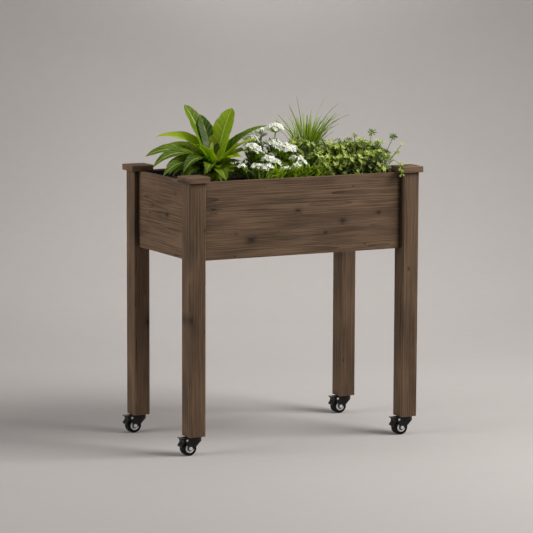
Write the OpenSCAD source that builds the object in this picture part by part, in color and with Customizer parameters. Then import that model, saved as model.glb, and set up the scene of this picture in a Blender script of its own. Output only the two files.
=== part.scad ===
// Rolling planter: a raised plank bed on four square legs, each leg on a braked swivel caster.
// Millimetres. Z is up from the floor, X runs along the bed, and the casters trail toward -X.
// The origin is on the floor, midway between the left pedal tips and the right caps' edges.

/* [Bed] */
// Length of the bed over the posts
bed_length = 680; // [560:5:900]
// Width of the bed over the posts
bed_width = 388; // [330:2:600]
// Height of the plank walls
wall_height = 203; // [160:1:260]
// Number of planks in each wall
plank_count = 3; // [3:1:3]
// Thickness of a wall plank
plank_thickness = 12; // [9:0.5:15]
// Distance from a post's outer face back to the plank's outer face
plank_setback = 16; // [10:0.5:18]
// Depth of the grooves in the posts that the plank ends enter
post_groove_depth = 10; // [6:0.5:12]
// Height of the tongue along a plank's top edge
tongue_height = 6; // [4:0.5:8]
// Thickness of that tongue
tongue_thickness = 4; // [3:0.5:5]
// Bevel along the outer edges of each seam between planks
seam_bevel = 1; // [0.5:0.25:1.5]
// Play of a plank in its groove, on each side
plank_fit = 0.15; // [0.05:0.05:0.3]

/* [Posts and caps] */
// Side of a square post
post_side = 47.5; // [42:0.5:60]
// Length of a post, from its caster to its cap
post_length = 660; // [500:5:800]
// Bevel on the long edges of a post
post_bevel = 3; // [1:0.5:5]
// How far a cap stands out past its post all round
cap_overhang = 8; // [3:0.25:12]
// Thickness of a cap
cap_thickness = 16; // [12:0.5:28]
// Bevel on the edges of a cap
cap_bevel = 1.25; // [0.5:0.25:3]

/* [Floor of the bed] */
// Height of the bed's floor rails above the bottom of the walls
rail_lift = 5; // [2:0.5:10]
// Side of a square floor rail
rail_side = 22; // [18:0.5:30]
// Number of floor slats
slat_count = 5; // [4:1:6]
// Width of a floor slat
slat_width = 98; // [80:1:100]
// Thickness of a floor slat
slat_thickness = 12; // [9:0.5:18]
// Gap between a slat or a rail and the piece it butts against
slat_play = 1; // [0.5:0.1:2]
// Radius of a wood screw's shank
screw_radius = 2; // [1.5:0.1:2.5]
// Radius of a wood screw's head
screw_head_radius = 4; // [3:0.1:5]
// Height of a wood screw's head
screw_head_height = 2.4; // [2:0.1:3]
// Length of a wood screw
screw_length = 30; // [26:1:32]
// Radial clearance of anything that is set in a drilled hole
hole_fit = 0.02; // [0.01:0.01:0.08]

/* [Liner and soil] */
// Thickness of the liner
liner_thickness = 1; // [0.6:0.1:2]
// Gap between the liner and the wood around it
liner_gap = 0.2; // [0.1:0.05:0.5]
// How far the liner's edge stays below the rim
liner_drop = 4; // [2:0.5:10]
// How far the soil stays below the rim
soil_drop = 20; // [14:1:30]

/* [Casters] */
// Height from the floor to the bottom of a post
mount_height = 50; // [50:0.5:60]
// Outer radius of a wheel
wheel_radius = 20; // [17:0.25:20]
// Width of a wheel over its two plates
wheel_width = 24; // [18:0.5:26]
// Radius of the rounding on a tyre's shoulders
tyre_rounding = 3; // [1.5:0.25:3.5]
// How far a tyre's sides lie inside the wheel's plates
tyre_side_step = 0.6; // [0.3:0.1:1]
// Radius of the pale plate on each side of a wheel
plate_radius = 12.2; // [11:0.1:13]
// Distance that the wheel trails behind the swivel axis
trail = 16.5; // [14:0.25:17.5]
// Thickness of the fork's sheet
fork_sheet = 2; // [1.5:0.1:2.5]
// Gap between a wheel's plates and the fork's cheeks
wheel_play = 1; // [0.6:0.1:1.5]
// Gap between the wheel's boss and a cheek
boss_play = 0.3; // [0.2:0.05:0.5]
// Radius of the wheel's boss
boss_radius = 5; // [4.5:0.1:6]
// Radius of the fork's round head
head_radius = 20; // [18:0.25:20.5]
// Height of the fork's round head, behind
head_height = 6; // [5:0.25:6]
// How much lower the head's skirt hangs in front
skirt_drop = 5; // [2:0.25:6]
// Radius of the rounded lower end of a cheek
cheek_end_radius = 7.5; // [6.5:0.25:8.5]
// Radius of the bearing race under the post
race_radius = 18.5; // [16:0.25:20]
// Thickness of the bearing race under the post
race_thickness = 1.6; // [1:0.1:2]
// Gap between the race and the turning head
race_gap = 0.4; // [0.2:0.05:0.6]
// Radius of the threaded stem
stem_radius = 4; // [3:0.25:5]
// Length of the stem inside the post
stem_length = 24; // [18:0.5:30]
// Radius of the flange that holds the fork on the stem
flange_radius = 6.5; // [6:0.1:7.5]
// Thickness of that flange
flange_thickness = 1.6; // [1:0.1:2]
// Outer radius of the threaded insert in a post
insert_radius = 6; // [5.5:0.1:8]
// Radial clearance of everything that turns on a pin
turning_fit = 0.05; // [0.02:0.01:0.09]
// Radius of the wheel's axle
axle_radius = 3; // [2.5:0.1:3.5]
// Radius of the axle's nuts across the corners
nut_radius = 5.2; // [4.5:0.1:6]
// Height of the axle's nuts
nut_height = 3; // [2:0.1:4]
// How far the axle's ends stand out of the nuts
axle_end = 1; // [0.5:0.1:1.5]

/* [Brake pedals] */
// Distance of the pedal's pin behind the wheel's axle
pin_behind_axle = 9; // [8:0.25:10]
// Height of the pedal's pin above the wheel's axle
pin_above_axle = 22.5; // [22:0.25:23]
// Radius of the pedal's pin
pin_radius = 1.8; // [1.4:0.1:2]
// Radius of the rivet heads on that pin
rivet_radius = 3.2; // [2.6:0.1:3.6]
// Height of the rivet heads
rivet_height = 1.2; // [0.8:0.1:1.5]
// Radius of the pedal's barrel around the pin
barrel_radius = 3.4; // [3:0.1:3.5]
// Distance from the swivel axis to the pedal's two tips
pedal_reach = 41.5; // [40:0.25:44]
// Gap between the released pedal's shoe and the tyre
brake_gap = 2; // [1.9:0.05:2.4]
// Gap between the pedal's sides and the fork's cheeks
pedal_play = 0.6; // [0.4:0.1:1]

/* [Plants] */
// Height of the broad-leaved plant over the soil
broadleaf_height = 197; // [150:1:230]
// Height of the flowering plant over the soil
flowering_height = 149; // [115:1:170]
// Height of the grass tuft over the soil
grass_height = 210; // [160:1:240]
// Height of the shrub's tallest shoot over the soil
shrub_height = 123; // [100:1:145]
// Height of the trailing sprig's arch over the cap
sprig_arch = 14; // [10:0.5:18]
// Radius of the broad-leaved plant's crown at the soil
crown_radius = 13; // [10:0.5:18]
// Thickness of a broad leaf along its rib
leaf_thickness = 2.4; // [1.5:0.1:4]
// Number of steps along a broad leaf
leaf_steps = 6; // [5:1:7]
// Radius of a full flower head
flower_radius = 24; // [18:0.5:28]
// Radius of a flower stalk
stalk_radius = 1.6; // [1:0.1:2.5]
// Number of grass blades in the tuft
blade_count = 26; // [18:1:30]
// Width of a grass blade near its foot
blade_width = 4; // [3:0.1:5]
// Radius of a shrub's leaf clumps
clump_radius = 30; // [24:1:34]
// Radius of a ring of leaves at a shoot's tip
whorl_radius = 13; // [9:0.5:16]

/* [Hidden] */
$fn = 48;

// Heights
post_top = mount_height + post_length;
wall_bottom = post_top - wall_height;
plank_height = wall_height / plank_count;
rail_bottom = wall_bottom + rail_lift;
slat_bottom = rail_bottom + rail_side;
liner_bottom = slat_bottom + slat_thickness;
liner_top = post_top - liner_drop;
soil_bottom = liner_bottom + liner_thickness;
soil_top = post_top - soil_drop;

// Plan of the bed, about its own middle
half_length = bed_length / 2;
half_width = bed_width / 2;
post_x = half_length - post_side / 2;
post_y = half_width - post_side / 2;
plank_inner = plank_setback + plank_thickness;
inner_x = half_length - plank_inner;
inner_y = half_width - plank_inner;
clear_x = half_length - post_side;
clear_y = half_width - post_side;

// The whole part stands a little to the right, so that the origin is the middle of its outline
shift_x = (pedal_reach - post_side / 2 - cap_overhang) / 2;

// Casters, about the swivel axis
axle_x = -trail;
axle_z = wheel_radius;
cheek_inner = wheel_width / 2 + wheel_play;
cheek_outer = cheek_inner + fork_sheet;
head_top = mount_height - race_thickness - race_gap;
head_bottom = head_top - head_height;
pin_x = axle_x - pin_behind_axle;
pin_z = axle_z + pin_above_axle;
plate_thickness = 2.4;
flange_top = head_top - plate_thickness - race_gap / 2;

// Screws: how far a floor screw's tip goes past the middle of its rail
rail_screw_x = [-250, -90, 90, 250];
slat_pitch = slat_count > 1 ? (2 * clear_x - 2 * slat_play - slat_width) / (slat_count - 1) : 0;

// The plants' tables are typed for a bed that is 624 x 332 inside and for the heights above. From
// there the places follow the bed, and the reaches and heights follow the plants' named heights.
spread_x = inner_x / 312;
spread_y = inner_y / 166;
broadleaf_ratio = broadleaf_height / 197;
flowering_ratio = flowering_height / 149;
grass_ratio = grass_height / 210;
shrub_ratio = shrub_height / 123;
function bed_spot(x, y) = [x * spread_x, y * spread_y, 0];

// Broad leaves: direction in plan, reach, rise of the tip, angle at the foot, width
broad_leaves = [
    [112, 110, 197, 74, 44],
    [92, 82, 171, 80, 40],
    [82, 75, 157, 84, 38],
    [32, 91, 188, 80, 48],
    [-8, 145, 145, 75, 44],
    [-50, 126, 118, 76, 40],
    [-68, 98, 72, 76, 40],
    [138, 158, 115, 84, 42],
    [168, 185, 70, 70, 40],
    [-178, 181, 46, 74, 38],
    [-168, 171, 27, 60, 38],
    [-148, 140, 36, 80, 38],
    [-128, 92, 32, 85, 36],
    [-102, 93, 12, 70, 36],
    [-148, 95, 107, 82, 42],
    [-78, 88, 85, 80, 40],
    [-112, 55, 100, 86, 38],
    [120, 150, 90, 72, 38],
    [68, 120, 110, 76, 40],
    [16, 102, 95, 76, 38],
    [54, 150, 60, 66, 38],
    [90, 150, 50, 64, 38]
];
broad_foot = [-175, -4];
leaf_foot = 0.3 * crown_radius;

// Flower heads: place in plan, height over the soil, share of the full radius
flower_heads = [
    [0, -14, 149, 1], [-52, 10, 129, 0.75],
    [-83, -34, 102, 1], [-2, -44, 102, 0.9],
    [31, -50, 91, 0.6], [-50, -74, 71, 0.85],
    [-101, -106, 55, 0.55], [-73, -112, 53, 0.65],
    [32, -70, 68, 0.75], [47, -84, 57, 0.45],
    [17, -104, 51, 0.5], [-20, -112, 45, 0.45],
    [30, 34, 84, 0.8], [-34, 54, 74, 0.8],
    [10, 84, 64, 0.7], [60, 66, 70, 0.7]
];
// Leaf clumps between the flower heads: place in plan, height of the top over the soil
flower_clumps = [
    [-66, -78, 46], [-24, -86, 48], [18, -84, 52], [32, -52, 70],
    [-6, -56, 80], [-44, -48, 66], [-70, -34, 80], [0, -10, 84],
    [-2, -10, 118], [-46, 0, 62], [-50, 6, 96], [30, -14, 66],
    [8, 28, 62], [-32, 32, 58], [20, 60, 56], [-20, 70, 52],
    [50, 44, 58]
];

// Grass tuft: foot in plan, then the longest blades as direction, reach, rise and foot angle
grass_foot = [132, 62];
blade_foot = 2 * blade_width;
long_blades = [
    [-10, 52, 206, 88], [170, 42, 180, 88],
    [195, 66, 192, 87], [5, 107, 186, 86],
    [-5, 160, 158, 84], [185, 100, 150, 84],
    [20, 130, 120, 82], [175, 24, 210, 89]
];

// Shrub clumps: place in plan, height of the top over the soil, share of the full radius
shrub_clumps = [
    [86, -116, 54, 0.8], [118, -112, 62, 0.9], [150, -120, 66, 1],
    [184, -118, 70, 1], [216, -116, 74, 1], [246, -112, 76, 1],
    [274, -104, 78, 0.9], [68, -44, 102, 0.7], [84, -80, 74, 0.8],
    [100, -36, 108, 0.9], [112, -76, 88, 0.9], [130, -44, 106, 1],
    [150, -78, 98, 1], [164, -36, 101, 1], [182, -76, 100, 1],
    [200, -36, 101, 1], [214, -78, 102, 1], [236, -40, 102, 1],
    [248, -76, 104, 1], [268, -36, 98, 1], [278, -70, 96, 0.9],
    [176, 4, 100, 0.9], [212, 6, 98, 1], [250, 4, 96, 1],
    [282, 10, 84, 0.9], [196, 48, 92, 0.9], [236, 44, 90, 1],
    [272, 54, 80, 0.9], [212, 92, 76, 0.9], [248, 92, 70, 0.9],
    [212, 124, 56, 0.8], [252, 124, 52, 0.8]
];
shrub_shoots = [
    [188, -110, 116, 0.7], [234, -120, 123, 1.1],
    [301, -120, 109, 1.1], [313, -120, 66, 0.7],
    [324, -128, 91, 0.4], [217, -104, 92, 0.8],
    [260, -104, 92, 0.8], [178, -92, 104, 0.6]
];

// Trailing sprig: its stem comes out of the soil behind the front right cap, arches over that cap's
// inner corner and hangs down in front of the wall
cap_left = half_length - post_side - cap_overhang;
cap_back = -half_width + post_side + cap_overhang;
cap_front = -half_width - cap_overhang;
cap_top = post_top + cap_thickness;
sprig_ratio = sprig_arch / 14;
sprig_points = [
    [cap_left + sprig_ratio, cap_back + 9 * sprig_ratio, soil_top + 2],
    [cap_left - sprig_ratio, cap_back + 9 * sprig_ratio, cap_top - 2],
    [cap_left + 2 * sprig_ratio, cap_back - 7 * sprig_ratio, cap_top + sprig_arch],
    [cap_left + sprig_ratio, cap_front + 28 * sprig_ratio, cap_top + 8 * sprig_ratio],
    [cap_left - 4 * sprig_ratio, cap_front + 10 * sprig_ratio, cap_top - 2 * sprig_ratio],
    [cap_left - 5 * sprig_ratio, cap_front + 3 * sprig_ratio, cap_top - 30 * sprig_ratio]
];
// Its leaves: the stem's point that each grows from, its middle from that point, and its diameter
sprig_leaves = [
    [3, [14, 4, -3], 12],
    [3, [29, 3, -3], 10],
    [3, [8, -6, -4], 11],
    [4, [-5, -6, -6], 10],
    [4, [-1.5, -14, -10], 9],
    [5, [-5, -4, -8], 9],
    [5, [3, -5, -6], 9]
];

// ---- placing -------------------------------------------------------------------------------

// Puts a piece drawn about the middle of the bed where it stands
module placed() {
    translate([shift_x, 0, 0])
        children();
}

// Puts a piece drawn for the front left corner at one of the four corners
module at_corner(right, back) {
    placed()
        mirror([right, 0, 0])
            mirror([0, back, 0])
                children();
}

// Puts a caster drawn about its swivel axis under one of the four posts
module under_post(right, back) {
    placed()
        translate([(2 * right - 1) * post_x, (2 * back - 1) * post_y, 0])
            children();
}

// ---- shared shapes -------------------------------------------------------------------------

// A rectangle about its centre with its four corners bevelled
module bevelled_rectangle(width, depth, bevel) {
    x = width / 2;
    y = depth / 2;
    polygon([
        [-x + bevel, -y], [x - bevel, -y], [x, -y + bevel], [x, y - bevel],
        [x - bevel, y], [-x + bevel, y], [-x, y - bevel], [-x, -y + bevel]
    ]);
}

// A rod along Y, centred on the swivel axis's plane, at a place seen from the side
module cross_rod(x, z, radius, length) {
    translate([x, length / 2, z])
        rotate([90, 0, 0])
            cylinder(r = radius, h = length);
}

// A flat piece drawn in X and Z, given a thickness along Y from y0
module side_sheet(y0, thickness) {
    translate([0, y0 + thickness, 0])
        rotate([90, 0, 0])
            linear_extrude(thickness)
                children();
}

// ---- posts and caps ------------------------------------------------------------------------

// The front left post, with the two grooves for the planks and the hole for its insert
module post() {
    groove_width = plank_thickness + 2 * plank_fit;
    groove_start = plank_setback - plank_fit;
    groove_bottom = wall_bottom - plank_fit;
    color("#5a4636")
        difference() {
            translate([-post_x, -post_y, mount_height])
                linear_extrude(post_length)
                    bevelled_rectangle(post_side, post_side, post_bevel);
            translate([-half_length, -half_width, groove_bottom])
                translate([post_side - post_groove_depth, groove_start, 0])
                    cube([post_groove_depth + 1, groove_width, wall_height + 1]);
            translate([-half_length, -half_width, groove_bottom])
                translate([groove_start, post_side - post_groove_depth, 0])
                    cube([groove_width, post_groove_depth + 1, wall_height + 1]);
            translate([-post_x, -post_y, mount_height - 1])
                cylinder(r = insert_radius + hole_fit, h = stem_length + 3);
        }
}

// The front left post's cap
module cap() {
    side = post_side + 2 * cap_overhang;
    color("#6a5440")
        translate([-post_x, -post_y, post_top])
            intersection() {
                linear_extrude(cap_thickness)
                    bevelled_rectangle(side, side, cap_bevel);
                translate([0, side / 2, cap_thickness / 2])
                    rotate([90, 0, 0])
                        linear_extrude(side)
                            bevelled_rectangle(side, cap_thickness, cap_bevel);
                translate([-side / 2, 0, cap_thickness / 2])
                    rotate([90, 0, 90])
                        linear_extrude(side)
                            bevelled_rectangle(side, cap_thickness, cap_bevel);
            }
}

// ---- planks --------------------------------------------------------------------------------

// A plank's end view: outer face at x = 0, inner face at x = thickness, row counted from below
module plank_profile(row) {
    low = row * plank_height;
    high = low + plank_height;
    tongue_x = (plank_thickness - tongue_thickness) / 2;
    is_top = row == plank_count - 1;
    bevel_low = row == 0 ? 0.01 : seam_bevel;
    bevel_high = is_top ? 0.01 : seam_bevel;
    difference() {
        union() {
            polygon([
                [0, low + bevel_low], [bevel_low, low], [plank_thickness, low],
                [plank_thickness, high], [bevel_high, high], [0, high - bevel_high]
            ]);
            if (!is_top)
                translate([tongue_x, high - 1])
                    square([tongue_thickness, tongue_height + 1]);
        }
        if (row > 0)
            translate([tongue_x - plank_fit, low - 1])
                square([tongue_thickness + 2 * plank_fit, tongue_height + plank_fit + 1]);
    }
}

// A plank along X in the front wall; the lowest row is drilled for the rail's screws
module front_plank(row) {
    length = 2 * (clear_x + post_groove_depth - plank_fit);
    color("#5c4838")
        difference() {
            translate([-length / 2, -half_width + plank_setback, wall_bottom])
                rotate([90, 0, 90])
                    linear_extrude(length)
                        plank_profile(row);
            if (row == 0)
                rail_screws(hole_fit);
        }
}

// A plank along Y in the left wall
module left_plank(row) {
    length = 2 * (clear_y + post_groove_depth - plank_fit);
    color("#604b3b")
        translate([-half_length + plank_setback, length / 2, wall_bottom])
            rotate([90, 0, 0])
                linear_extrude(length)
                    plank_profile(row);
}

// ---- floor of the bed ----------------------------------------------------------------------

// The screws that hold the front rail to the front wall, or their holes when grown
module rail_screws(grow = 0) {
    for (x = rail_screw_x)
        translate([x, -inner_y + rail_side, rail_bottom + rail_side / 2])
            rotate([90, 0, 0]) {
                translate([0, 0, grow > 0 ? -1 : 0])
                    cylinder(r = screw_head_radius + grow, h = screw_head_height + (grow > 0 ? 1 : 0));
                cylinder(r = screw_radius + grow, h = screw_length + grow);
            }
}

// Where the middle of a slat lies along the bed
function slat_x(i) = -clear_x + slat_play + slat_width / 2 + i * slat_pitch;

// The screws that hold the slats to the front rail, or their holes when grown
module slat_screws(grow = 0) {
    depth = slat_thickness + rail_side / 2 - screw_radius - 2;
    for (i = [0:slat_count - 1])
        translate([slat_x(i), -inner_y + rail_side / 2, slat_bottom + slat_thickness]) {
            translate([0, 0, -screw_head_height])
                cylinder(r = screw_head_radius + grow, h = screw_head_height + (grow > 0 ? 1 : 0));
            translate([0, 0, -depth - grow])
                cylinder(r = screw_radius + grow, h = depth + grow);
        }
}

module front_rail() {
    color("#5a4636")
        difference() {
            translate([-clear_x + slat_play, -inner_y, rail_bottom])
                cube([2 * (clear_x - slat_play), rail_side, rail_side]);
            rail_screws(hole_fit);
            slat_screws(hole_fit);
        }
}

module slats() {
    color("#634d3c")
        difference() {
            for (i = [0:slat_count - 1])
                translate([slat_x(i) - slat_width / 2, -inner_y + slat_play, slat_bottom])
                    cube([slat_width, 2 * (inner_y - slat_play), slat_thickness]);
            slat_screws(hole_fit);
            mirror([0, 1, 0])
                slat_screws(hole_fit);
        }
}

module screws() {
    color("#b9b4a8")
        for (back = [0, 1])
            mirror([0, back, 0]) {
                rail_screws();
                slat_screws();
            }
}

// ---- liner and soil ------------------------------------------------------------------------

// The bed's inside in plan, drawn in by a gap and notched round the four posts
module bed_plan(gap) {
    difference() {
        square([2 * (inner_x - gap), 2 * (inner_y - gap)], center = true);
        for (sx = [-1, 1], sy = [-1, 1])
            translate([sx * (half_length - post_side / 2), sy * (half_width - post_side / 2)])
                square(post_side + 2 * gap, center = true);
    }
}

module liner() {
    color("#1c1b19") {
        translate([0, 0, liner_bottom])
            linear_extrude(liner_thickness)
                bed_plan(liner_gap);
        translate([0, 0, liner_bottom])
            linear_extrude(liner_top - liner_bottom)
                difference() {
                    bed_plan(liner_gap);
                    bed_plan(liner_gap + liner_thickness);
                }
    }
}

module soil() {
    color("#2a211a")
        translate([0, 0, soil_bottom])
            linear_extrude(soil_top - soil_bottom)
                bed_plan(2 * liner_gap + liner_thickness);
}

// ---- plants --------------------------------------------------------------------------------

// The end angle of an arc that leaves its foot at an angle and ends at a reach and a rise
function end_angle(reach, rise, start) = 2 * atan2(rise, reach) - start;

// The radius of that arc, and the point at a share t of the way along it: [out, up, angle]
function arc_radius(reach, rise, start) =
    norm([reach, rise]) / (2 * sin((start - end_angle(reach, rise, start)) / 2));
function arc_point(reach, rise, start, t) =
    let (
        last = end_angle(reach, rise, start),
        radius = arc_radius(reach, rise, start),
        angle = start + (last - start) * t
    )
    [radius * (sin(start) - sin(angle)), radius * (cos(angle) - cos(start)), angle];

// One thin cross-section of a blade, standing across the arc at a share t of its length
module blade_section(reach, rise, start, t, width, thickness) {
    point = arc_point(reach, rise, start, t);
    translate([point[0], 0, point[1]])
        rotate([0, -point[2], 0])
            rotate([90, 0, 90])
                linear_extrude(0.3)
                    polygon([[-width / 2, 0], [0, -thickness / 2], [width / 2, 0], [0, thickness / 2]]);
}

// A broad leaf's share of its full width: a third at its foot, full at the middle, then to a point
function leaf_share(t) =
    t < 0.5 ? 0.35 + 0.65 * sin(180 * t) : max(0.05, 1 - pow(2 * t - 1, 2.4));

module broad_leaf(leaf) {
    rotate([0, 0, leaf[0]])
        for (i = [0:leaf_steps - 1]) {
            near = i / leaf_steps;
            far = (i + 1) / leaf_steps;
            hull() {
                blade_section(leaf[1], leaf[2], leaf[3], near, leaf[4] * leaf_share(near), leaf_thickness);
                blade_section(leaf[1], leaf[2], leaf[3], far, leaf[4] * leaf_share(far), leaf_thickness);
            }
        }
}

module broadleaf_plant() {
    color("#4f8a2c")
        translate(bed_spot(broad_foot[0], broad_foot[1]) + [0, 0, soil_top])
            union() {
                cylinder(r1 = crown_radius, r2 = 1.35 * crown_radius, h = 3.3 * crown_radius, $fn = 12);
                translate([0, 0, leaf_foot])
                    for (leaf = broad_leaves)
                        broad_leaf([
                            leaf[0],
                            leaf[1] * broadleaf_ratio,
                            leaf[2] * broadleaf_ratio - leaf_foot,
                            leaf[3],
                            leaf[4] * broadleaf_ratio
                        ]);
            }
}

// A round clump with a flattened foot and a domed top, its top at a height over the soil
module clump(top, radius) {
    hull() {
        translate([0, 0, top - 1.6 * radius])
            cylinder(r = 0.6 * radius, h = 0.3, $fn = 9);
        translate([0, 0, top - 0.8 * radius])
            cylinder(r = radius, h = 0.3, $fn = 9);
        translate([0, 0, top - 0.2 * radius])
            cylinder(r = 0.72 * radius, h = 0.2 * radius, $fn = 9);
    }
}

// A round dome of flowers on its stalk
module flower_head(head) {
    radius = flower_radius * head[3];
    top = head[2] * flowering_ratio;
    translate(bed_spot(head[0], head[1])) {
        hull() {
            translate([0, 0, top - radius])
                cylinder(r = 0.5 * radius, h = 0.3, $fn = 9);
            translate([0, 0, top - 0.55 * radius])
                cylinder(r = radius, h = 0.3, $fn = 9);
            translate([0, 0, top - 0.12 * radius])
                cylinder(r = 0.6 * radius, h = 0.12 * radius, $fn = 9);
        }
        cylinder(r = stalk_radius, h = top - 0.8 * radius, $fn = 6);
    }
}

module flowering_plant() {
    color("#6f8f4a")
        translate([0, 0, soil_top])
            union() {
                hull() {
                    for (x = [-68, 10])
                        translate(bed_spot(x, -92))
                            cylinder(r = 1.9 * flower_radius, h = 22 * flowering_ratio, $fn = 12);
                    translate(bed_spot(-10, 48))
                        cylinder(r = 1.9 * flower_radius, h = 30 * flowering_ratio, $fn = 12);
                    translate(bed_spot(36, 40))
                        cylinder(r = 1.25 * flower_radius, h = 30 * flowering_ratio, $fn = 12);
                    translate(bed_spot(-10, -40))
                        cylinder(r = 1.25 * flower_radius, h = 50 * flowering_ratio, $fn = 12);
                }
                for (c = flower_clumps)
                    translate(bed_spot(c[0], c[1]))
                        clump(c[2] * flowering_ratio, flower_radius);
                for (head = flower_heads)
                    flower_head(head);
            }
}

// One grass blade: a narrow strip along its arc, thinning to the tip
module grass_blade(direction, reach, rise, start) {
    steps = 4;
    rotate([0, 0, direction])
        for (i = [0:steps - 1])
            hull() {
                blade_section(reach, rise, start, i / steps, blade_width * (1 - 0.2 * i), 1.6 - 0.2 * i);
                blade_section(reach, rise, start, (i + 1) / steps, blade_width * (0.8 - 0.2 * i), 1.4 - 0.2 * i);
            }
}

module grass_tuft() {
    color("#5f8c3f")
        translate(bed_spot(grass_foot[0], grass_foot[1]) + [0, 0, soil_top])
            union() {
                cylinder(r1 = 3 * blade_width, r2 = 1.75 * blade_width, h = 0.17 * grass_height, $fn = 12);
                for (i = [0:blade_count - len(long_blades) - 1]) {
                    turn = 137.5 * i;
                    translate([1.25 * blade_width * cos(turn), 1.25 * blade_width * sin(turn), blade_foot])
                        grass_blade(
                            turn,
                            (0.07 + 0.17 * ((i * 7) % 10) / 10) * grass_height,
                            (0.75 - 0.25 * ((i * 3) % 7) / 7) * grass_height,
                            86
                        );
                }
                for (blade = long_blades)
                    translate([0, 0, blade_foot])
                        grass_blade(
                            blade[0],
                            blade[1] * grass_ratio,
                            blade[2] * grass_ratio - blade_foot,
                            blade[3]
                        );
            }
}

// A thin stem between two points
module stem_between(from, to, radius) {
    hull() {
        translate(from)
            sphere(r = radius, $fn = 6);
        translate(to)
            sphere(r = radius, $fn = 6);
    }
}

// A ring of narrow leaves about a stem's tip, each tilted up a little
module whorl(radius) {
    cylinder(r = 0.2 * radius, h = 2.4, $fn = 10, center = true);
    for (i = [0:6])
        rotate([0, -9, i * 360 / 7 + 4])
            hull() {
                translate([0.1 * radius, 0, 0])
                    cylinder(r = 0.07 * radius, h = 1.2, $fn = 5, center = true);
                translate([0.62 * radius, 0, 0])
                    cylinder(r = 0.2 * radius, h = 0.9, $fn = 5, center = true);
                translate([radius - 1, 0, 0])
                    cylinder(r = 0.8, h = 0.7, $fn = 4, center = true);
            }
}

module leafy_shrub() {
    color("#47713a")
        translate([0, 0, soil_top])
            union() {
                hull() {
                    for (spot = [[84, -108], [268, -108], [270, 84], [222, 112], [110, -20]])
                        translate(bed_spot(spot[0], spot[1]))
                            cylinder(r = 0.73 * clump_radius, h = 40 * shrub_ratio, $fn = 12);
                }
                for (c = shrub_clumps)
                    translate(bed_spot(c[0], c[1]))
                        clump(c[2] * shrub_ratio, clump_radius * c[3]);
                for (s = shrub_shoots) {
                    tip = bed_spot(s[0], s[1]) + [0, 0, s[2] * shrub_ratio];
                    foot = bed_spot(0.65 * s[0] + 70, s[1] + 10) + [0, 0, 30 * shrub_ratio];
                    stem_between(foot, tip, 0.9 * stalk_radius);
                    translate(tip)
                        rotate([50, 0, -20])
                            whorl(whorl_radius * s[3]);
                }
            }
}

module trailing_sprig() {
    color("#a8c04a")
        union() {
            translate([sprig_points[0][0], sprig_points[0][1], soil_top])
                cylinder(r = 1.9 * stalk_radius, h = 3, $fn = 12);
            for (i = [0:len(sprig_points) - 2])
                stem_between(sprig_points[i], sprig_points[i + 1], stalk_radius);
            for (leaf = sprig_leaves)
                translate(sprig_points[leaf[0]])
                    hull() {
                        sphere(r = stalk_radius / 2, $fn = 5);
                        translate(leaf[1] * sprig_ratio)
                            cylinder(d = leaf[2] * sprig_ratio, h = 1.2, $fn = 7);
                    }
        }
}

// ---- casters -------------------------------------------------------------------------------

// The threaded insert driven into a post's foot
module stem_insert() {
    color("#b0aca2")
        difference() {
            translate([0, 0, mount_height])
                cylinder(r = insert_radius, h = stem_length + 1);
            translate([0, 0, mount_height - 1])
                cylinder(r = stem_radius + hole_fit, h = stem_length + 3);
        }
}

// The stem with its bearing race under the post and its flange under the fork's head
module caster_stem() {
    color("#3a3b3d") {
        translate([0, 0, flange_top])
            cylinder(r = stem_radius, h = mount_height + stem_length - flange_top);
        translate([0, 0, mount_height - race_thickness])
            cylinder(r = race_radius, h = race_thickness);
        translate([0, 0, flange_top - flange_thickness])
            cylinder(r = flange_radius, h = flange_thickness);
    }
}

// A cheek's outline, from the side
module cheek_outline() {
    front = sqrt(head_radius * head_radius - cheek_outer * cheek_outer) - fork_sheet / 4;
    hull_top = head_top - 1;
    side = cheek_end_radius * 0.82;
    difference() {
        union() {
            translate([axle_x, axle_z])
                circle(r = cheek_end_radius);
            polygon([
                [axle_x + side, axle_z - cheek_end_radius * 0.56],
                [axle_x + 14, axle_z + 1.5],
                [front, head_bottom - skirt_drop],
                [front, hull_top],
                [pin_x - 5.5, hull_top],
                [pin_x - 5.5, pin_z - 4],
                [axle_x - side, axle_z + cheek_end_radius * 0.56]
            ]);
        }
        translate([axle_x, axle_z])
            circle(r = axle_radius + hole_fit);
        translate([pin_x, pin_z])
            circle(r = pin_radius + hole_fit);
    }
}

// What is cut away under the head's slanted skirt: it hangs lowest in front and clears the tyre behind
module skirt_cut() {
    side_sheet(-head_radius - 1, 2 * head_radius + 2)
        polygon([
            [-head_radius - 1, head_bottom - skirt_drop - 2],
            [head_radius + 1, head_bottom - skirt_drop - 2],
            [head_radius + 1, head_bottom - skirt_drop],
            [head_radius * 0.6, head_bottom - skirt_drop],
            [-head_radius * 0.6, head_bottom],
            [-head_radius - 1, head_bottom]
        ]);
}

module fork() {
    color("#17181a")
        difference() {
            union() {
                difference() {
                    translate([0, 0, head_bottom - skirt_drop])
                        cylinder(r = head_radius, h = head_height + skirt_drop);
                    translate([0, 0, head_bottom - skirt_drop - 1])
                        cylinder(r = head_radius - fork_sheet, h = head_height + skirt_drop - plate_thickness + 1);
                    skirt_cut();
                }
                for (y0 = [-cheek_outer, cheek_inner])
                    side_sheet(y0, fork_sheet)
                        cheek_outline();
            }
            translate([0, 0, head_bottom - 1])
                cylinder(r = stem_radius + turning_fit, h = head_height + 2);
        }
}

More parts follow.
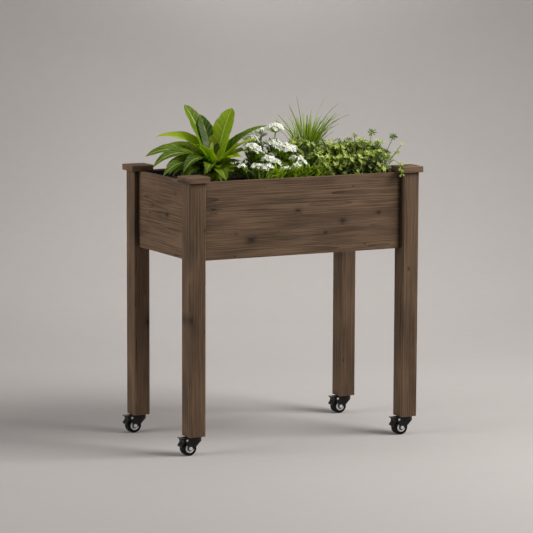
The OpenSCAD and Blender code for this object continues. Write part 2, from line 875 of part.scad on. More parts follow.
// A tyre with rounded shoulders, bored for the hub
module tyre() {
    half = wheel_width / 2 - tyre_side_step;
    color("#101010")
        translate([axle_x, 0, axle_z])
            rotate([90, 0, 0])
                rotate_extrude($fn = 64)
                    difference() {
                        union() {
                            translate([plate_radius - 1, -half])
                                square([wheel_radius - tyre_rounding - plate_radius + 1, 2 * half]);
                            translate([plate_radius - 1, -half + tyre_rounding])
                                square([wheel_radius - plate_radius + 1, 2 * (half - tyre_rounding)]);
                            for (side = [-1, 1])
                                translate([wheel_radius - tyre_rounding, side * (half - tyre_rounding)])
                                    circle(r = tyre_rounding);
                        }
                        translate([0, -wheel_width])
                            square([plate_radius + hole_fit, 2 * wheel_width]);
                    }
}

// The pale wheel centre: a plate on each side, a boss, and the axle's bore
module hub() {
    color("#c9c7c0")
        translate([axle_x, 0, axle_z])
            rotate([90, 0, 0])
                rotate_extrude($fn = 64)
                    translate([axle_radius + turning_fit, 0])
                        polygon([
                            [0, -cheek_inner + boss_play],
                            [boss_radius - axle_radius, -cheek_inner + boss_play],
                            [boss_radius - axle_radius, -wheel_width / 2],
                            [plate_radius - axle_radius - 0.8, -wheel_width / 2],
                            [plate_radius - axle_radius - turning_fit, -wheel_width / 2 + 0.8],
                            [plate_radius - axle_radius - turning_fit, wheel_width / 2 - 0.8],
                            [plate_radius - axle_radius - 0.8, wheel_width / 2],
                            [boss_radius - axle_radius, wheel_width / 2],
                            [boss_radius - axle_radius, cheek_inner - boss_play],
                            [0, cheek_inner - boss_play]
                        ]);
}

// The axle with a hexagonal nut at each end
module axle() {
    color("#c8c6c1") {
        cross_rod(axle_x, axle_z, axle_radius, 2 * (cheek_outer + nut_height + axle_end));
        for (side = [0, 1])
            mirror([0, side, 0])
                translate([axle_x, -cheek_outer, axle_z])
                    rotate([90, 0, 0])
                        cylinder(r = nut_radius, h = nut_height, $fn = 6);
    }
}

// The rivet that the pedal turns on
module pedal_rivet() {
    color("#c0beb8") {
        cross_rod(pin_x, pin_z, pin_radius, 2 * cheek_outer);
        for (side = [0, 1])
            mirror([0, side, 0])
                translate([pin_x, -cheek_outer, pin_z])
                    rotate([90, 0, 0]) {
                        cylinder(r = rivet_radius, h = rivet_height / 2);
                        translate([0, 0, rivet_height / 2])
                            cylinder(r1 = rivet_radius, r2 = 0.6 * rivet_radius, h = rivet_height / 2);
                    }
    }
}

// The brake pedal: an upper tab, a lower tab and a shoe that follows the tyre
module pedal() {
    tab_top = head_top - 0.2;
    low_tab = axle_z + 6.5;
    color("#141516")
        side_sheet(-cheek_inner + pedal_play, 2 * (cheek_inner - pedal_play))
            difference() {
                union() {
                    difference() {
                        polygon([
                            [pin_x, pin_z + barrel_radius],
                            [pin_x - 6, tab_top - 0.6],
                            [-pedal_reach, tab_top],
                            [-pedal_reach, tab_top - 2.2],
                            [-pedal_reach + 5, tab_top - 4.4],
                            [-pedal_reach + 6, tab_top - 11],
                            [-pedal_reach + 3.4, low_tab + 5],
                            [-pedal_reach, low_tab + 1.2],
                            [-pedal_reach, low_tab - 0.6],
                            [-pedal_reach + 2.6, low_tab - 3.5],
                            [axle_x, axle_z + 6],
                            [pin_x + 1, pin_z]
                        ]);
                        translate([axle_x, axle_z])
                            circle(r = wheel_radius + brake_gap);
                    }
                    translate([pin_x, pin_z])
                        circle(r = barrel_radius);
                }
                translate([pin_x, pin_z])
                    circle(r = pin_radius + turning_fit);
            }
}

module inserts() {
    for (right = [0, 1], back = [0, 1])
        under_post(right, back)
            stem_insert();
}

// ---- the part ------------------------------------------------------------------------------

at_corner(0, 0) post();  // post_front_left
at_corner(1, 0) post();  // post_front_right
at_corner(0, 1) post();  // post_back_left
at_corner(1, 1) post();  // post_back_right
at_corner(0, 0) cap();  // cap_front_left
at_corner(1, 0) cap();  // cap_front_right
at_corner(0, 1) cap();  // cap_back_left
at_corner(1, 1) cap();  // cap_back_right
at_corner(0, 0) front_plank(0);  // plank_front_low
at_corner(0, 0) front_plank(1);  // plank_front_mid
at_corner(0, 0) front_plank(2);  // plank_front_top
at_corner(0, 1) front_plank(0);  // plank_back_low
at_corner(0, 1) front_plank(1);  // plank_back_mid
at_corner(0, 1) front_plank(2);  // plank_back_top
at_corner(0, 0) left_plank(0);  // plank_left_low
at_corner(0, 0) left_plank(1);  // plank_left_mid
at_corner(0, 0) left_plank(2);  // plank_left_top
at_corner(1, 0) left_plank(0);  // plank_right_low
at_corner(1, 0) left_plank(1);  // plank_right_mid
at_corner(1, 0) left_plank(2);  // plank_right_top
at_corner(0, 0) front_rail();  // rail_front
at_corner(0, 1) front_rail();  // rail_back
placed() slats();  // floor_slats
placed() screws();  // floor_screws
inserts();  // stem_inserts
placed() liner();
placed() soil();
placed() broadleaf_plant();
placed() flowering_plant();
placed() grass_tuft();
placed() leafy_shrub();
placed() trailing_sprig();
under_post(0, 0) caster_stem();  // stem_front_left
under_post(0, 0) fork();  // fork_front_left
under_post(0, 0) tyre();  // tyre_front_left
under_post(0, 0) hub();  // hub_front_left
under_post(0, 0) axle();  // axle_front_left
under_post(0, 0) pedal();  // pedal_front_left
under_post(0, 0) pedal_rivet();  // rivet_front_left
under_post(1, 0) caster_stem();  // stem_front_right
under_post(1, 0) fork();  // fork_front_right
under_post(1, 0) tyre();  // tyre_front_right
under_post(1, 0) hub();  // hub_front_right
under_post(1, 0) axle();  // axle_front_right
under_post(1, 0) pedal();  // pedal_front_right
under_post(1, 0) pedal_rivet();  // rivet_front_right
under_post(0, 1) caster_stem();  // stem_back_left
under_post(0, 1) fork();  // fork_back_left
under_post(0, 1) tyre();  // tyre_back_left
under_post(0, 1) hub();  // hub_back_left
under_post(0, 1) axle();  // axle_back_left
under_post(0, 1) pedal();  // pedal_back_left
under_post(0, 1) pedal_rivet();  // rivet_back_left
under_post(1, 1) caster_stem();  // stem_back_right
under_post(1, 1) fork();  // fork_back_right
under_post(1, 1) tyre();  // tyre_back_right
under_post(1, 1) hub();  // hub_back_right
under_post(1, 1) axle();  // axle_back_right
under_post(1, 1) pedal();  // pedal_back_right
under_post(1, 1) pedal_rivet();  // rivet_back_right
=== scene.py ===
import math

import bmesh
import bpy
import numpy as np
from mathutils import Matrix, Vector


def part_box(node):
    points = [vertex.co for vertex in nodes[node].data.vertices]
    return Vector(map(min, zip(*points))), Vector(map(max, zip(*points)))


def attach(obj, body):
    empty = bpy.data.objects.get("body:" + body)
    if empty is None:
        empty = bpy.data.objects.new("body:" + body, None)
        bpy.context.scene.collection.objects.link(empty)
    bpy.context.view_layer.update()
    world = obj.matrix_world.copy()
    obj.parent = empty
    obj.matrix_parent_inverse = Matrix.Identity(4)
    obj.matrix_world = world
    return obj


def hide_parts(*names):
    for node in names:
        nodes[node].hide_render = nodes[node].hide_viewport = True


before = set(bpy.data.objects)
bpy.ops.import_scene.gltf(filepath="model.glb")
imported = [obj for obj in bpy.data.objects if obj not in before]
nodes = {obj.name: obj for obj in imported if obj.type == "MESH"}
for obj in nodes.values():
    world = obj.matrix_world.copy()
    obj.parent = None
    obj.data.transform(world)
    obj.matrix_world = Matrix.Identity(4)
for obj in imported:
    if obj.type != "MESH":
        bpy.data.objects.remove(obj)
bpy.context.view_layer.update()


def new_object(name, data):
    """An object of the scene that shows the data."""
    made = bpy.data.objects.new(name, data)
    bpy.context.scene.collection.objects.link(made)
    return made


CORNERS = ("front_left", "front_right", "back_left", "back_right")
# Marks on each point of a plant: how far it is to a leaf's left or right and from its foot to its tip,
# and how bright the leaf is
MARKS = ("side", "along", "tone")
# Which of its plant's materials a piece takes, where it isn't the leaf's
WHITE, EYE, STEM = 1, 2, 1
GOLDEN_ANGLE, GOLDEN_TURN = 137.5, 2.39996   # degrees and radians from each leaf or floret to the next
TOWARD_VIEW = (-0.46, -0.89)                 # in plan, from the planter to the camera

# ---- sizes, in millimetres, as the solids have them ----

BED_MIDDLE = np.array([4.875, 0, 690.0])     # at the soil's top; the plants are drawn from here
SOIL_NOTCH = 21.6         # cut out of the soil's corners for the posts
SOIL_GRID = 3.0           # the soil's points stand this far apart
CROWN_RADIUS = 13.0       # of the broad-leaved plant
LEAF_FOOT = 3.9           # where its leaves start over the soil
BLADE_FOOT = 8.0          # where the grass blades start over the soil
FLOWER_RADIUS = 24.0
CLUMP_RADIUS = 30.0
WHORL_RADIUS = 13.0
GRASS_HEIGHT = 210.0
BLADE_COUNT = 26

# Broad leaves: their foot in plan, then each one's direction in plan, reach, rise of the tip, angle at
# the foot, width, and how bright it is, from dark at 0 to yellow-green at 1. That brightness is the leaf's
# own green with the light and shade on it painted in
BROAD_FOOT = (-175, -4)
BROAD_LEAVES = [
    (112, 110, 197, 74, 44, 0.2), (92, 82, 171, 80, 40, -0.1), (82, 75, 157, 84, 38, 0.0),
    (32, 91, 188, 80, 48, 0.45), (-8, 145, 145, 75, 44, 0.1), (-50, 126, 118, 76, 40, 0.9),
    (-68, 98, 72, 76, 40, 1.0), (138, 158, 115, 84, 52, 0.9), (168, 185, 70, 70, 42, 0.15),
    (-178, 181, 46, 74, 38, 0.1), (-168, 171, 27, 60, 38, 0.1), (-148, 140, 36, 80, 38, -0.1),
    (-128, 92, 32, 85, 36, 0.15), (-102, 93, 12, 70, 36, 0.3), (-148, 95, 107, 82, 36, 1.5),
    (-78, 88, 72, 80, 34, 1.5), (-112, 62, 44, 86, 32, 1.4), (120, 150, 90, 72, 38, 0.4),
    (68, 120, 110, 76, 40, 0.5), (16, 102, 95, 76, 38, 0.7), (54, 150, 60, 66, 38, 0.2),
    (90, 150, 50, 64, 38, 0.0), (-22, 112, 84, 78, 42, 0.8),
]
# Flower heads: place in plan, height over the soil, share of the full radius
FLOWER_HEADS = [
    (0, -14, 149, 1), (-52, 10, 129, 0.75), (-83, -34, 102, 1), (-2, -44, 102, 0.9), (31, -50, 91, 0.6),
    (-50, -74, 71, 0.85), (-101, -106, 55, 0.55), (-73, -112, 53, 0.65), (32, -70, 68, 0.75),
    (47, -84, 57, 0.45), (17, -104, 51, 0.5), (-20, -112, 45, 0.45), (30, 34, 84, 0.8),
    (-34, 54, 74, 0.8), (10, 84, 64, 0.7), (60, 66, 70, 0.7),
]
# Looser heads against those, that the solids leave out
SIDE_HEADS = [(10, -58, 91, 0.75), (16, -46, 99, 0.75), (-74, -44, 93, 0.75), (-36, -84, 62, 0.6),
              (-26, -50, 76, 0.4), (-140, -96, 56, 0.4), (-14, -30, 108, 0.6), (44, -66, 64, 0.5),
              (-66, -6, 118, 0.6), (-36, 4, 140, 0.55), (-58, 22, 116, 0.7), (-22, 22, 128, 0.6)]
# Leafy clumps between them: place in plan, height of the top
FLOWER_CLUMPS = [
    (-66, -78, 46), (-24, -86, 48), (18, -84, 52), (32, -52, 70), (-6, -56, 80), (-44, -48, 66),
    (-70, -34, 80), (0, -10, 84), (-2, -10, 100), (-46, 0, 62), (-50, 6, 96), (30, -14, 66),
    (8, 28, 62), (-32, 32, 58), (20, 60, 56), (-20, 70, 52), (50, 44, 58),
]
# Grass: its foot in plan, then the longest blades as direction, reach, rise and foot angle
GRASS_FOOT = (132, 62)
LONG_BLADES = [
    (-10, 52, 206, 88), (170, 42, 180, 88), (195, 66, 192, 87), (5, 107, 186, 86), (-5, 160, 158, 84),
    (185, 100, 150, 84), (20, 130, 120, 82), (175, 24, 210, 89),
]
# Shrub: its clumps' place in plan, top and share of the full radius
SHRUB_CLUMPS = [
    (86, -116, 54, 0.8), (118, -112, 62, 0.9), (150, -120, 66, 1), (184, -118, 70, 1),
    (216, -116, 74, 1), (246, -112, 76, 1), (274, -104, 78, 0.9), (68, -44, 102, 0.7),
    (84, -80, 74, 0.8), (100, -36, 108, 0.9), (112, -76, 88, 0.9), (130, -44, 106, 1),
    (150, -78, 98, 1), (164, -36, 101, 1), (182, -76, 100, 1), (200, -36, 101, 1), (214, -78, 102, 1),
    (236, -40, 102, 1), (248, -76, 104, 1), (268, -36, 98, 1), (278, -70, 96, 0.9), (176, 4, 100, 0.9),
    (212, 6, 98, 1), (250, 4, 96, 1), (282, 10, 84, 0.9), (196, 48, 92, 0.9), (236, 44, 90, 1),
    (272, 54, 80, 0.9), (212, 92, 76, 0.9), (248, 92, 70, 0.9), (212, 124, 56, 0.8),
    (252, 124, 52, 0.8),
]
# Yellower clumps that close the gap between the shrub, the grass and the flowers
YELLOW_CLUMPS = [
    (52, -34, 92, 0.75), (62, 8, 94, 0.8), (88, 30, 102, 0.8), (40, -56, 80, 0.6), (112, 20, 98, 0.8),
]
# The shrub's shoots: tip, share of the full radius, and how bright their leaves are
SHRUB_SHOOTS = [
    (188, -110, 116, 0.7, 0.1), (234, -120, 123, 1.1, -0.2), (301, -120, 109, 1.1, -0.2),
    (313, -120, 66, 0.7, 0.5), (324, -128, 91, 0.4, 1.3), (217, -104, 92, 0.8, -0.3),
    (260, -104, 92, 0.8, -0.3), (178, -92, 104, 0.6, 0.0),
]
# Trailing sprig: its stem's points, in the bed's plan and over the soil, then its leaves
SPRIG_POINTS = [
    (285.5, -129.5, 2), (283.5, -129.5, 34), (286.5, -145.5, 50), (285.5, -174, 44),
    (282, -192, 36), (281.5, -199, 22),
]
SPRIG_LEAVES = [
    (3, (14, 4, -3), 12), (3, (29, 3, -3), 10), (3, (8, -6, -4), 11), (4, (-5, -6, -6), 10),
    (4, (-1.5, -14, -10), 9), (5, (-5, -4, -8), 9), (5, (3, -5, -6), 9),
]

# ---- materials ----

def linear(hex_colour):
    """An sRGB hex colour as linear light, with alpha."""
    parts = [int(hex_colour[i:i + 2], 16) / 255 for i in (1, 3, 5)]
    return [c / 12.92 if c <= 0.04045 else ((c + 0.055) / 1.055) ** 2.4 for c in parts] + [1.0]


def connect(node, inputs):
    """Sets inputs of a node. Each gets a value, an output, or the first output in use of a node."""
    for name, value in inputs.items():
        if isinstance(value, bpy.types.Node):
            value = next(output for output in value.outputs if output.enabled)
        if isinstance(value, bpy.types.NodeSocket):
            node.id_data.links.new(value, node.inputs[name])
        else:
            node.inputs[name].default_value = value


def add(tree, kind, inputs=None, operation=None, **settings):
    """Adds one shader node with its inputs, its operation if it has one, and its other settings."""
    node = tree.nodes.new("ShaderNode" + kind)
    if operation:
        node.operation = operation
    for name, value in settings.items():
        setattr(node, name, value)
    connect(node, inputs or {})
    return node


def blank(name, roughness, metallic=0.0, **sockets):
    """A new material, its tree and its shader, with constants set on the shader's own sockets."""
    material = bpy.data.materials.new(name)
    material.use_nodes = True
    shader = material.node_tree.nodes["Principled BSDF"]
    connect(shader, {"Roughness": roughness, "Metallic": metallic})
    connect(shader, {socket.replace("_", " "): value for socket, value in sockets.items()})
    return material, material.node_tree, shader


# Which way a board's grain runs, as the turn that brings the grain to X
GRAIN_TURN = {"x": (0, 0, 0), "y": (0, 0, -math.pi / 2), "z": (0, math.pi / 2, 0)}
# The last two colours are painted light: shade in the inner corners, and a highlight on the eased edges
STAIN_PALE, STAIN_DARK, EDGE_HIGHLIGHT_PAINT, CORNER_SHADE_PAINT = "#7c624a", "#36271a", "#917659", "#120c08"
KNOT_HEART = "#2a1c14"
KNOT_CELL = (0.13, 0.05)      # metres of board, along and across, that one knot may have
RING_GAP = 0.0032


def stained_fir(node_name, grain, seed, tone_and_painted_shade):
    """Planed fir under a thin walnut-brown oil stain, sawn flat from the log. The stain stays dark in
    the hard late wood and in the knots, so the rings show as long streaks and arches, matt and open."""
    chance = np.random.default_rng(seed)
    low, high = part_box(node_name)
    material, tree, shader = blank("stained_fir_" + node_name, 0.6, Specular_IOR_Level=0.3)
    place = add(tree, "TexCoord").outputs["Object"]
    centred = add(tree, "VectorMath", {0: place, 1: (low + high) / 2}, "SUBTRACT")
    board = add(tree, "Mapping", {
        "Vector": centred,
        "Rotation": GRAIN_TURN[grain],
        "Location": (chance.uniform(-3, 3), chance.uniform(0.018, 0.04),
                     chance.choice([-1, 1]) * chance.uniform(0.012, 0.05)),
    })

    def streaks(stretch, detail, roughness=0.5):
        """Noise over the board, so many waves to a metre along its grain and across."""
        stretched = add(tree, "VectorMath", {0: board, 1: stretch}, "MULTIPLY")
        return add(tree, "TexNoise",
                   {"Vector": stretched, "Scale": 1.0, "Detail": detail, "Roughness": roughness})

    # Knots: three or four in a metre of board, 4 to 10 mm across. They run from the pith straight out
    # through the board's face, and are drawn out along the grain
    parts = add(tree, "SeparateXYZ", {"Vector": board})
    face = add(tree, "CombineXYZ", {"X": parts.outputs["X"], "Y": parts.outputs["Z"]})
    in_cells = add(tree, "VectorMath", {0: face, 1: (1 / KNOT_CELL[0], 1 / KNOT_CELL[1], 1)}, "MULTIPLY")
    knots = add(tree, "TexVoronoi", {"Vector": in_cells, "Scale": 1.0, "Randomness": 0.9},
                voronoi_dimensions="2D")
    away = add(tree, "VectorMath", {0: knots.outputs["Position"], 1: in_cells}, "SUBTRACT")
    real_away = add(tree, "VectorMath", {0: away, 1: (KNOT_CELL[0] * 0.6, KNOT_CELL[1], 0)}, "MULTIPLY")
    distance = add(tree, "VectorMath", {0: real_away}, "LENGTH")
    luck = add(tree, "SeparateColor", {"Color": knots.outputs["Color"]})
    knot_size = add(tree, "MapRange", {"Value": luck, "From Min": 0.45, "To Max": 0.005})
    spread = add(tree, "Math", {0: knot_size, 1: 3.6, 2: 0.0005}, "MULTIPLY_ADD")
    nearness = add(tree, "Math", {0: distance, 1: spread}, "DIVIDE")
    bulge = add(tree, "MapRange", {"Value": nearness, "From Min": 1.0, "From Max": 0.0},
                interpolation_type="SMOOTHSTEP")
    heart = add(tree, "MapRange", {"Value": nearness, "From Min": 0.42, "From Max": 0.08, "To Max": 0.85},
                interpolation_type="SMOOTHSTEP")

    # Rings, wavering by 30 mm over most of a metre, and pushed up to 9 mm aside by the knots
    across = add(tree, "VectorMath", {0: board, 1: (0, 1, 1)}, "MULTIPLY")
    from_pith = add(tree, "VectorMath", {0: across}, "LENGTH")
    bent = add(tree, "Math", {0: streaks((1.5, 7, 7), 3.0), 1: 0.03, 2: from_pith}, "MULTIPLY_ADD")
    pushed = add(tree, "Math", {0: bulge, 1: 0.009, 2: bent}, "MULTIPLY_ADD")
    rings = add(tree, "Math", {0: pushed, 1: RING_GAP}, "DIVIDE")
    year = add(tree, "Math", {0: rings}, "FRACT")
    late_wood = add(tree, "Math", {0: year, 1: 2.6}, "POWER")

    # Fibres: really 0.1 mm wide, drawn 3 mm wide and 150 mm long so that they show from across a room
    fibres = streaks((6.5, 330, 330), 4.0, 0.6)
    # Stain taken up unevenly, in patches a hand wide
    patches = streaks((7, 22, 22), 3.0)
    stain = add(tree, "Math", {0: late_wood, 1: 0.26}, "MULTIPLY")
    for source, share in ((bulge, 0.22), (fibres, 1.0), (patches, 0.6)):
        stain = add(tree, "Math", {0: source, 1: share, 2: stain}, "MULTIPLY_ADD")
    depth = add(tree, "MapRange", {"Value": stain, "From Min": 0.63, "From Max": 1.17})
    # Painted shade: the inner corners are darkened towards near black, the more closed in they are
    corner_occlusion = add(tree, "AmbientOcclusion", {"Distance": 0.035}, samples=8).outputs["AO"]
    painted_corner_shade = add(tree, "MapRange", {"Value": corner_occlusion, "From Min": 0.82, "From Max": 0.45, "To Max": 0.9})
    # Painted highlight: paler along the eased edges, where they catch the light
    rounded = add(tree, "Bevel", {"Radius": 0.0024}, samples=4)
    flat = add(tree, "NewGeometry").outputs["Normal"]
    turn = add(tree, "VectorMath", {0: rounded, 1: flat}, "DOT_PRODUCT")
    painted_edge_highlight = add(tree, "MapRange", {"Value": turn, "From Min": 0.995, "From Max": 0.9, "To Max": 0.55})

    pale, dark = ([c * tone_and_painted_shade for c in linear(h)[:3]] + [1.0] for h in (STAIN_PALE, STAIN_DARK))
    colour = add(tree, "Mix", {0: depth, 6: pale, 7: dark}, data_type="RGBA")
    for share, layer in ((heart, KNOT_HEART), (painted_corner_shade, CORNER_SHADE_PAINT), (painted_edge_highlight, EDGE_HIGHLIGHT_PAINT)):
        colour = add(tree, "Mix", {0: share, 6: colour, 7: linear(layer)}, data_type="RGBA")
    relief = add(tree, "Math", {0: late_wood, 1: 0.5, 2: fibres}, "MULTIPLY_ADD")
    connect(shader, {
        "Base Color": colour,
        "Roughness": add(tree, "MapRange", {"Value": late_wood, "To Min": 0.68, "To Max": 0.52}),
        "Normal": add(tree, "Bump", {"Height": relief, "Strength": 0.5, "Distance": 0.0004}),
    })
    return material


def finish_of(name, colour, other, grain_mm, relief_mm, roughness, metallic=0.0, **sockets):
    """A plain workshop finish: two near tones mottled at a grain size, and a relief of the same size."""
    material, tree, shader = blank(name, roughness, metallic, **sockets)
    place = add(tree, "TexCoord").outputs["Object"]
    mottle = add(tree, "TexNoise", {"Vector": place, "Scale": 1000 / grain_mm, "Detail": 4.0})
    wide = add(tree, "TexNoise", {"Vector": place, "Scale": 1000 / (grain_mm * 14), "Detail": 2.0})
    both = add(tree, "Math", {0: mottle, 1: wide}, "ADD")
    share = add(tree, "MapRange", {"Value": both, "From Min": 0.7, "From Max": 1.3})
    connect(shader, {
        "Base Color": add(tree, "Mix", {0: share, 6: linear(colour), 7: linear(other)},
                          data_type="RGBA"),
        "Roughness": add(tree, "MapRange", {"Value": wide, "From Min": 0.3, "From Max": 0.7,
                                            "To Min": roughness - 0.06, "To Max": roughness + 0.06}),
        "Normal": add(tree, "Bump", {"Height": mottle, "Strength": 0.6, "Distance": relief_mm / 1000}),
    })
    return material


def leaf_finish(name, deep, bright, rib, roughness, veins=0, foot=None, through=0.35, gloss=0.3):
    """A living leaf's waxy skin: deep and bright greens from leaf to leaf, a paler midrib, perhaps another
    colour at its foot, and side veins that run out to the margin. Some light comes through it. The marks
    side, along and tone lie on the mesh itself."""
    material, tree, shader = blank(name, roughness, Specular_IOR_Level=gloss, Subsurface_Weight=through,
                                   Subsurface_Radius=(0.6, 1.0, 0.15), Subsurface_Scale=0.004)
    side, along, tone = (add(tree, "Attribute", attribute_name=mark).outputs["Fac"] for mark in MARKS)
    place = add(tree, "TexCoord").outputs["Object"]
    blotch = add(tree, "TexNoise", {"Vector": place, "Scale": 60.0, "Detail": 3.0})
    mixed = add(tree, "Math", {0: blotch, 1: 0.5, 2: tone}, "MULTIPLY_ADD")
    share = add(tree, "MapRange", {"Value": mixed, "From Min": 0.25, "From Max": 1.15})
    skin = add(tree, "Mix", {0: share, 6: linear(deep), 7: linear(bright)}, data_type="RGBA")
    out_from_rib = add(tree, "Math", {0: side}, "ABSOLUTE")
    layers = [(rib, {"Value": out_from_rib, "From Min": 0.10, "From Max": 0.02, "To Max": 0.75})]
    if foot:
        layers.append((foot, {"Value": along, "From Min": 0.45, "From Max": 0.05, "To Max": 0.8}))
    if veins:
        # Side veins leave the rib at a slant: one every 1/veins of the leaf
        slant = add(tree, "Math", {0: out_from_rib, 1: -0.12, 2: along}, "MULTIPLY_ADD")
        waves = add(tree, "Math", {0: slant, 1: veins * math.tau}, "MULTIPLY")
        swell = add(tree, "Math", {0: waves}, "SINE")
        layers.append((rib, {"Value": swell, "From Min": 0.7, "To Max": 0.2}))
        bump = add(tree, "Bump", {"Height": swell, "Strength": 0.5, "Distance": 0.00015})
        connect(shader, {"Normal": bump})
    for colour, extent in layers:
        share = add(tree, "MapRange", extent)
        skin = add(tree, "Mix", {0: share, 6: skin, 7: linear(colour)}, data_type="RGBA")
    connect(shader, {"Base Color": skin})
    return material


# ---- growing closed leaves, petals and stalks ----

class Growth:
    """Closed pieces of one plant, gathered as points, faces and marks, in millimetres over the soil."""

    def __init__(self, seed):
        self.chance = np.random.default_rng(seed)
        # Draws between two numbers, and draws about a number with a deviation
        self.between, self.about = self.chance.uniform, self.chance.normal
        self.points, self.marks, self.faces, self.finishes = [], [], [], []
        self.count = 0

    def put(self, points, faces, side, along, tone, finish):
        """Adds one piece: its points, its faces, and for each point its side, along and tone."""
        points = np.asarray(points, float).reshape(-1, 3)
        marks = np.zeros((len(points), 3))
        marks[:, 0], marks[:, 1], marks[:, 2] = side, along, tone
        self.points.append(points)
        self.marks.append(marks)
        self.faces += [[i + self.count for i in face] for face in faces]
        self.finishes += [finish] * len(faces)
        self.count += len(points)

    def scatter(self, shape, places, ways, ups, lengths, widths, tones, finish=0):
        """Adds one small shape for each of the ways that it points along, its top to ups. The rest is given
        for each of them or once for all."""
        template, faces = shape
        many, each = len(ways), len(template)
        places, ups = (np.broadcast_to(part, (many, 3)) for part in (places, ups))
        lengths, widths, tones = (np.broadcast_to(part, many) for part in (lengths, widths, tones))
        ways = ways / np.linalg.norm(ways, axis=1)[:, None]
        ups = ups - (ups * ways).sum(1)[:, None] * ways
        ups = ups / np.maximum(np.linalg.norm(ups, axis=1), 1e-6)[:, None]
        sides = np.cross(ups, ways)
        x, y, z = template[:, 0], template[:, 1], template[:, 2]
        points = (places[:, None, :]
                  + (lengths[:, None] * x)[:, :, None] * ways[:, None, :]
                  + (widths[:, None] * y)[:, :, None] * sides[:, None, :]
                  + (lengths[:, None] * z)[:, :, None] * ups[:, None, :])
        starts = each * np.arange(many)
        whole = (np.array(faces)[None] + starts[:, None, None]).reshape(-1, 3).tolist()
        self.put(points, whole, np.tile(y * 2, many), np.tile(x, many), np.repeat(tones, each), finish)

    def raise_on(self, name, materials, replaced, slot, crease=40):
        """Makes the mesh, puts it in the bed, and lets it stand for the CAD node."""
        metres = (np.concatenate(self.points) + BED_MIDDLE) * 0.001
        mesh = bpy.data.meshes.new(name)
        mesh.from_pydata(metres.tolist(), [], self.faces)
        for column, mark in enumerate(MARKS):
            layer = mesh.attributes.new(mark, "FLOAT", "POINT")
            layer.data.foreach_set("value", np.concatenate(self.marks)[:, column].astype(np.float32))
        for material in materials:
            mesh.materials.append(material)
        mesh.polygons.foreach_set("material_index", self.finishes)
        shape = bmesh.new()
        shape.from_mesh(mesh)
        bmesh.ops.recalc_face_normals(shape, faces=shape.faces)
        shape.to_mesh(mesh)
        shape.free()
        mesh.shade_smooth()
        mesh.set_sharp_from_angle(angle=math.radians(crease))
        piece = new_object(name, mesh)
        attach(piece, "planter")
        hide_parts(replaced)


def lens(rim, over, under):
    """A closed flat shape: its rim, and the one point over it and the one under it."""
    many = len(rim)
    faces = []
    for i in range(many):
        j = (i + 1) % many
        faces += [(i, j, many), (j, i, many + 1)]
    return np.array(rim + [over, under], float), faces


def small_leaf(side, thick):
    """A small folded leaf, 1 long and 1 wide: foot at 0, tip at 1, one side's points, closed below."""
    rim = [(0, 0, 0)] + side + [(1, 0, 0)] + [(x, -y, z) for x, y, z in reversed(side)]
    return lens(rim, (0.55, 0, 0.02), (0.55, 0, -thick))


OVAL_LEAF = small_leaf([(0.12, 0.12, 0.02), (0.42, 0.46, 0.05), (0.74, 0.44, 0.05), (0.93, 0.2, 0.025)],
                       0.06)
NARROW_LEAF = small_leaf([(0.12, 0.2, 0.016), (0.42, 0.46, 0.04), (0.62, 0.44, 0.04), (0.93, 0.2, 0.02)],
                         0.06)
PETAL = small_leaf([(0.12, 0.12, 0.028), (0.42, 0.46, 0.07), (0.8, 0.44, 0.07), (0.93, 0.2, 0.035)], 0.05)
STAR_LEAF = small_leaf([(0.3, 0.43, 0.04), (0.66, 0.43, 0.04)], 0.06)
SOIL_CRUMB = lens([(0, 0, 0.05), (0.25, 0.4, 0.2), (0.8, 0.34, 0.1), (1, -0.1, 0.05), (0.6, -0.45, 0.15),
                   (0.1, -0.3, 0.1)], (0.5, 0, 0.42), (0.5, 0, -0.3))


def tube(rings, each):
    """The faces of a closed tube: rings of as many points each, and a face on both ends."""
    faces = [[i * each + j, i * each + (j + 1) % each, (i + 1) * each + (j + 1) % each, (i + 1) * each + j]
             for i in range(rings - 1) for j in range(each)]
    return faces + [list(range(each))[::-1], [(rings - 1) * each + j for j in range(each)]]


def spokes(axis, hint, turns):
    """Directions square to an axis, one for each turn about it. The hint says where the turns start."""
    first = np.cross(axis, hint)
    first /= np.linalg.norm(first)
    second = np.cross(axis, first)
    return np.cos(turns)[:, None] * first + np.sin(turns)[:, None] * second


def arc(reach, rise, start, shares):
    """Points on a blade's arc, as out, up and the angle of its run, for shares of its length."""
    start = math.radians(start)
    last = 2 * math.atan2(rise, reach) - start
    radius = math.hypot(reach, rise) / (2 * math.sin((start - last) / 2))
    angle = start + (last - start) * shares
    return radius * (math.sin(start) - np.sin(angle)), radius * (np.cos(angle) - math.cos(start)), angle


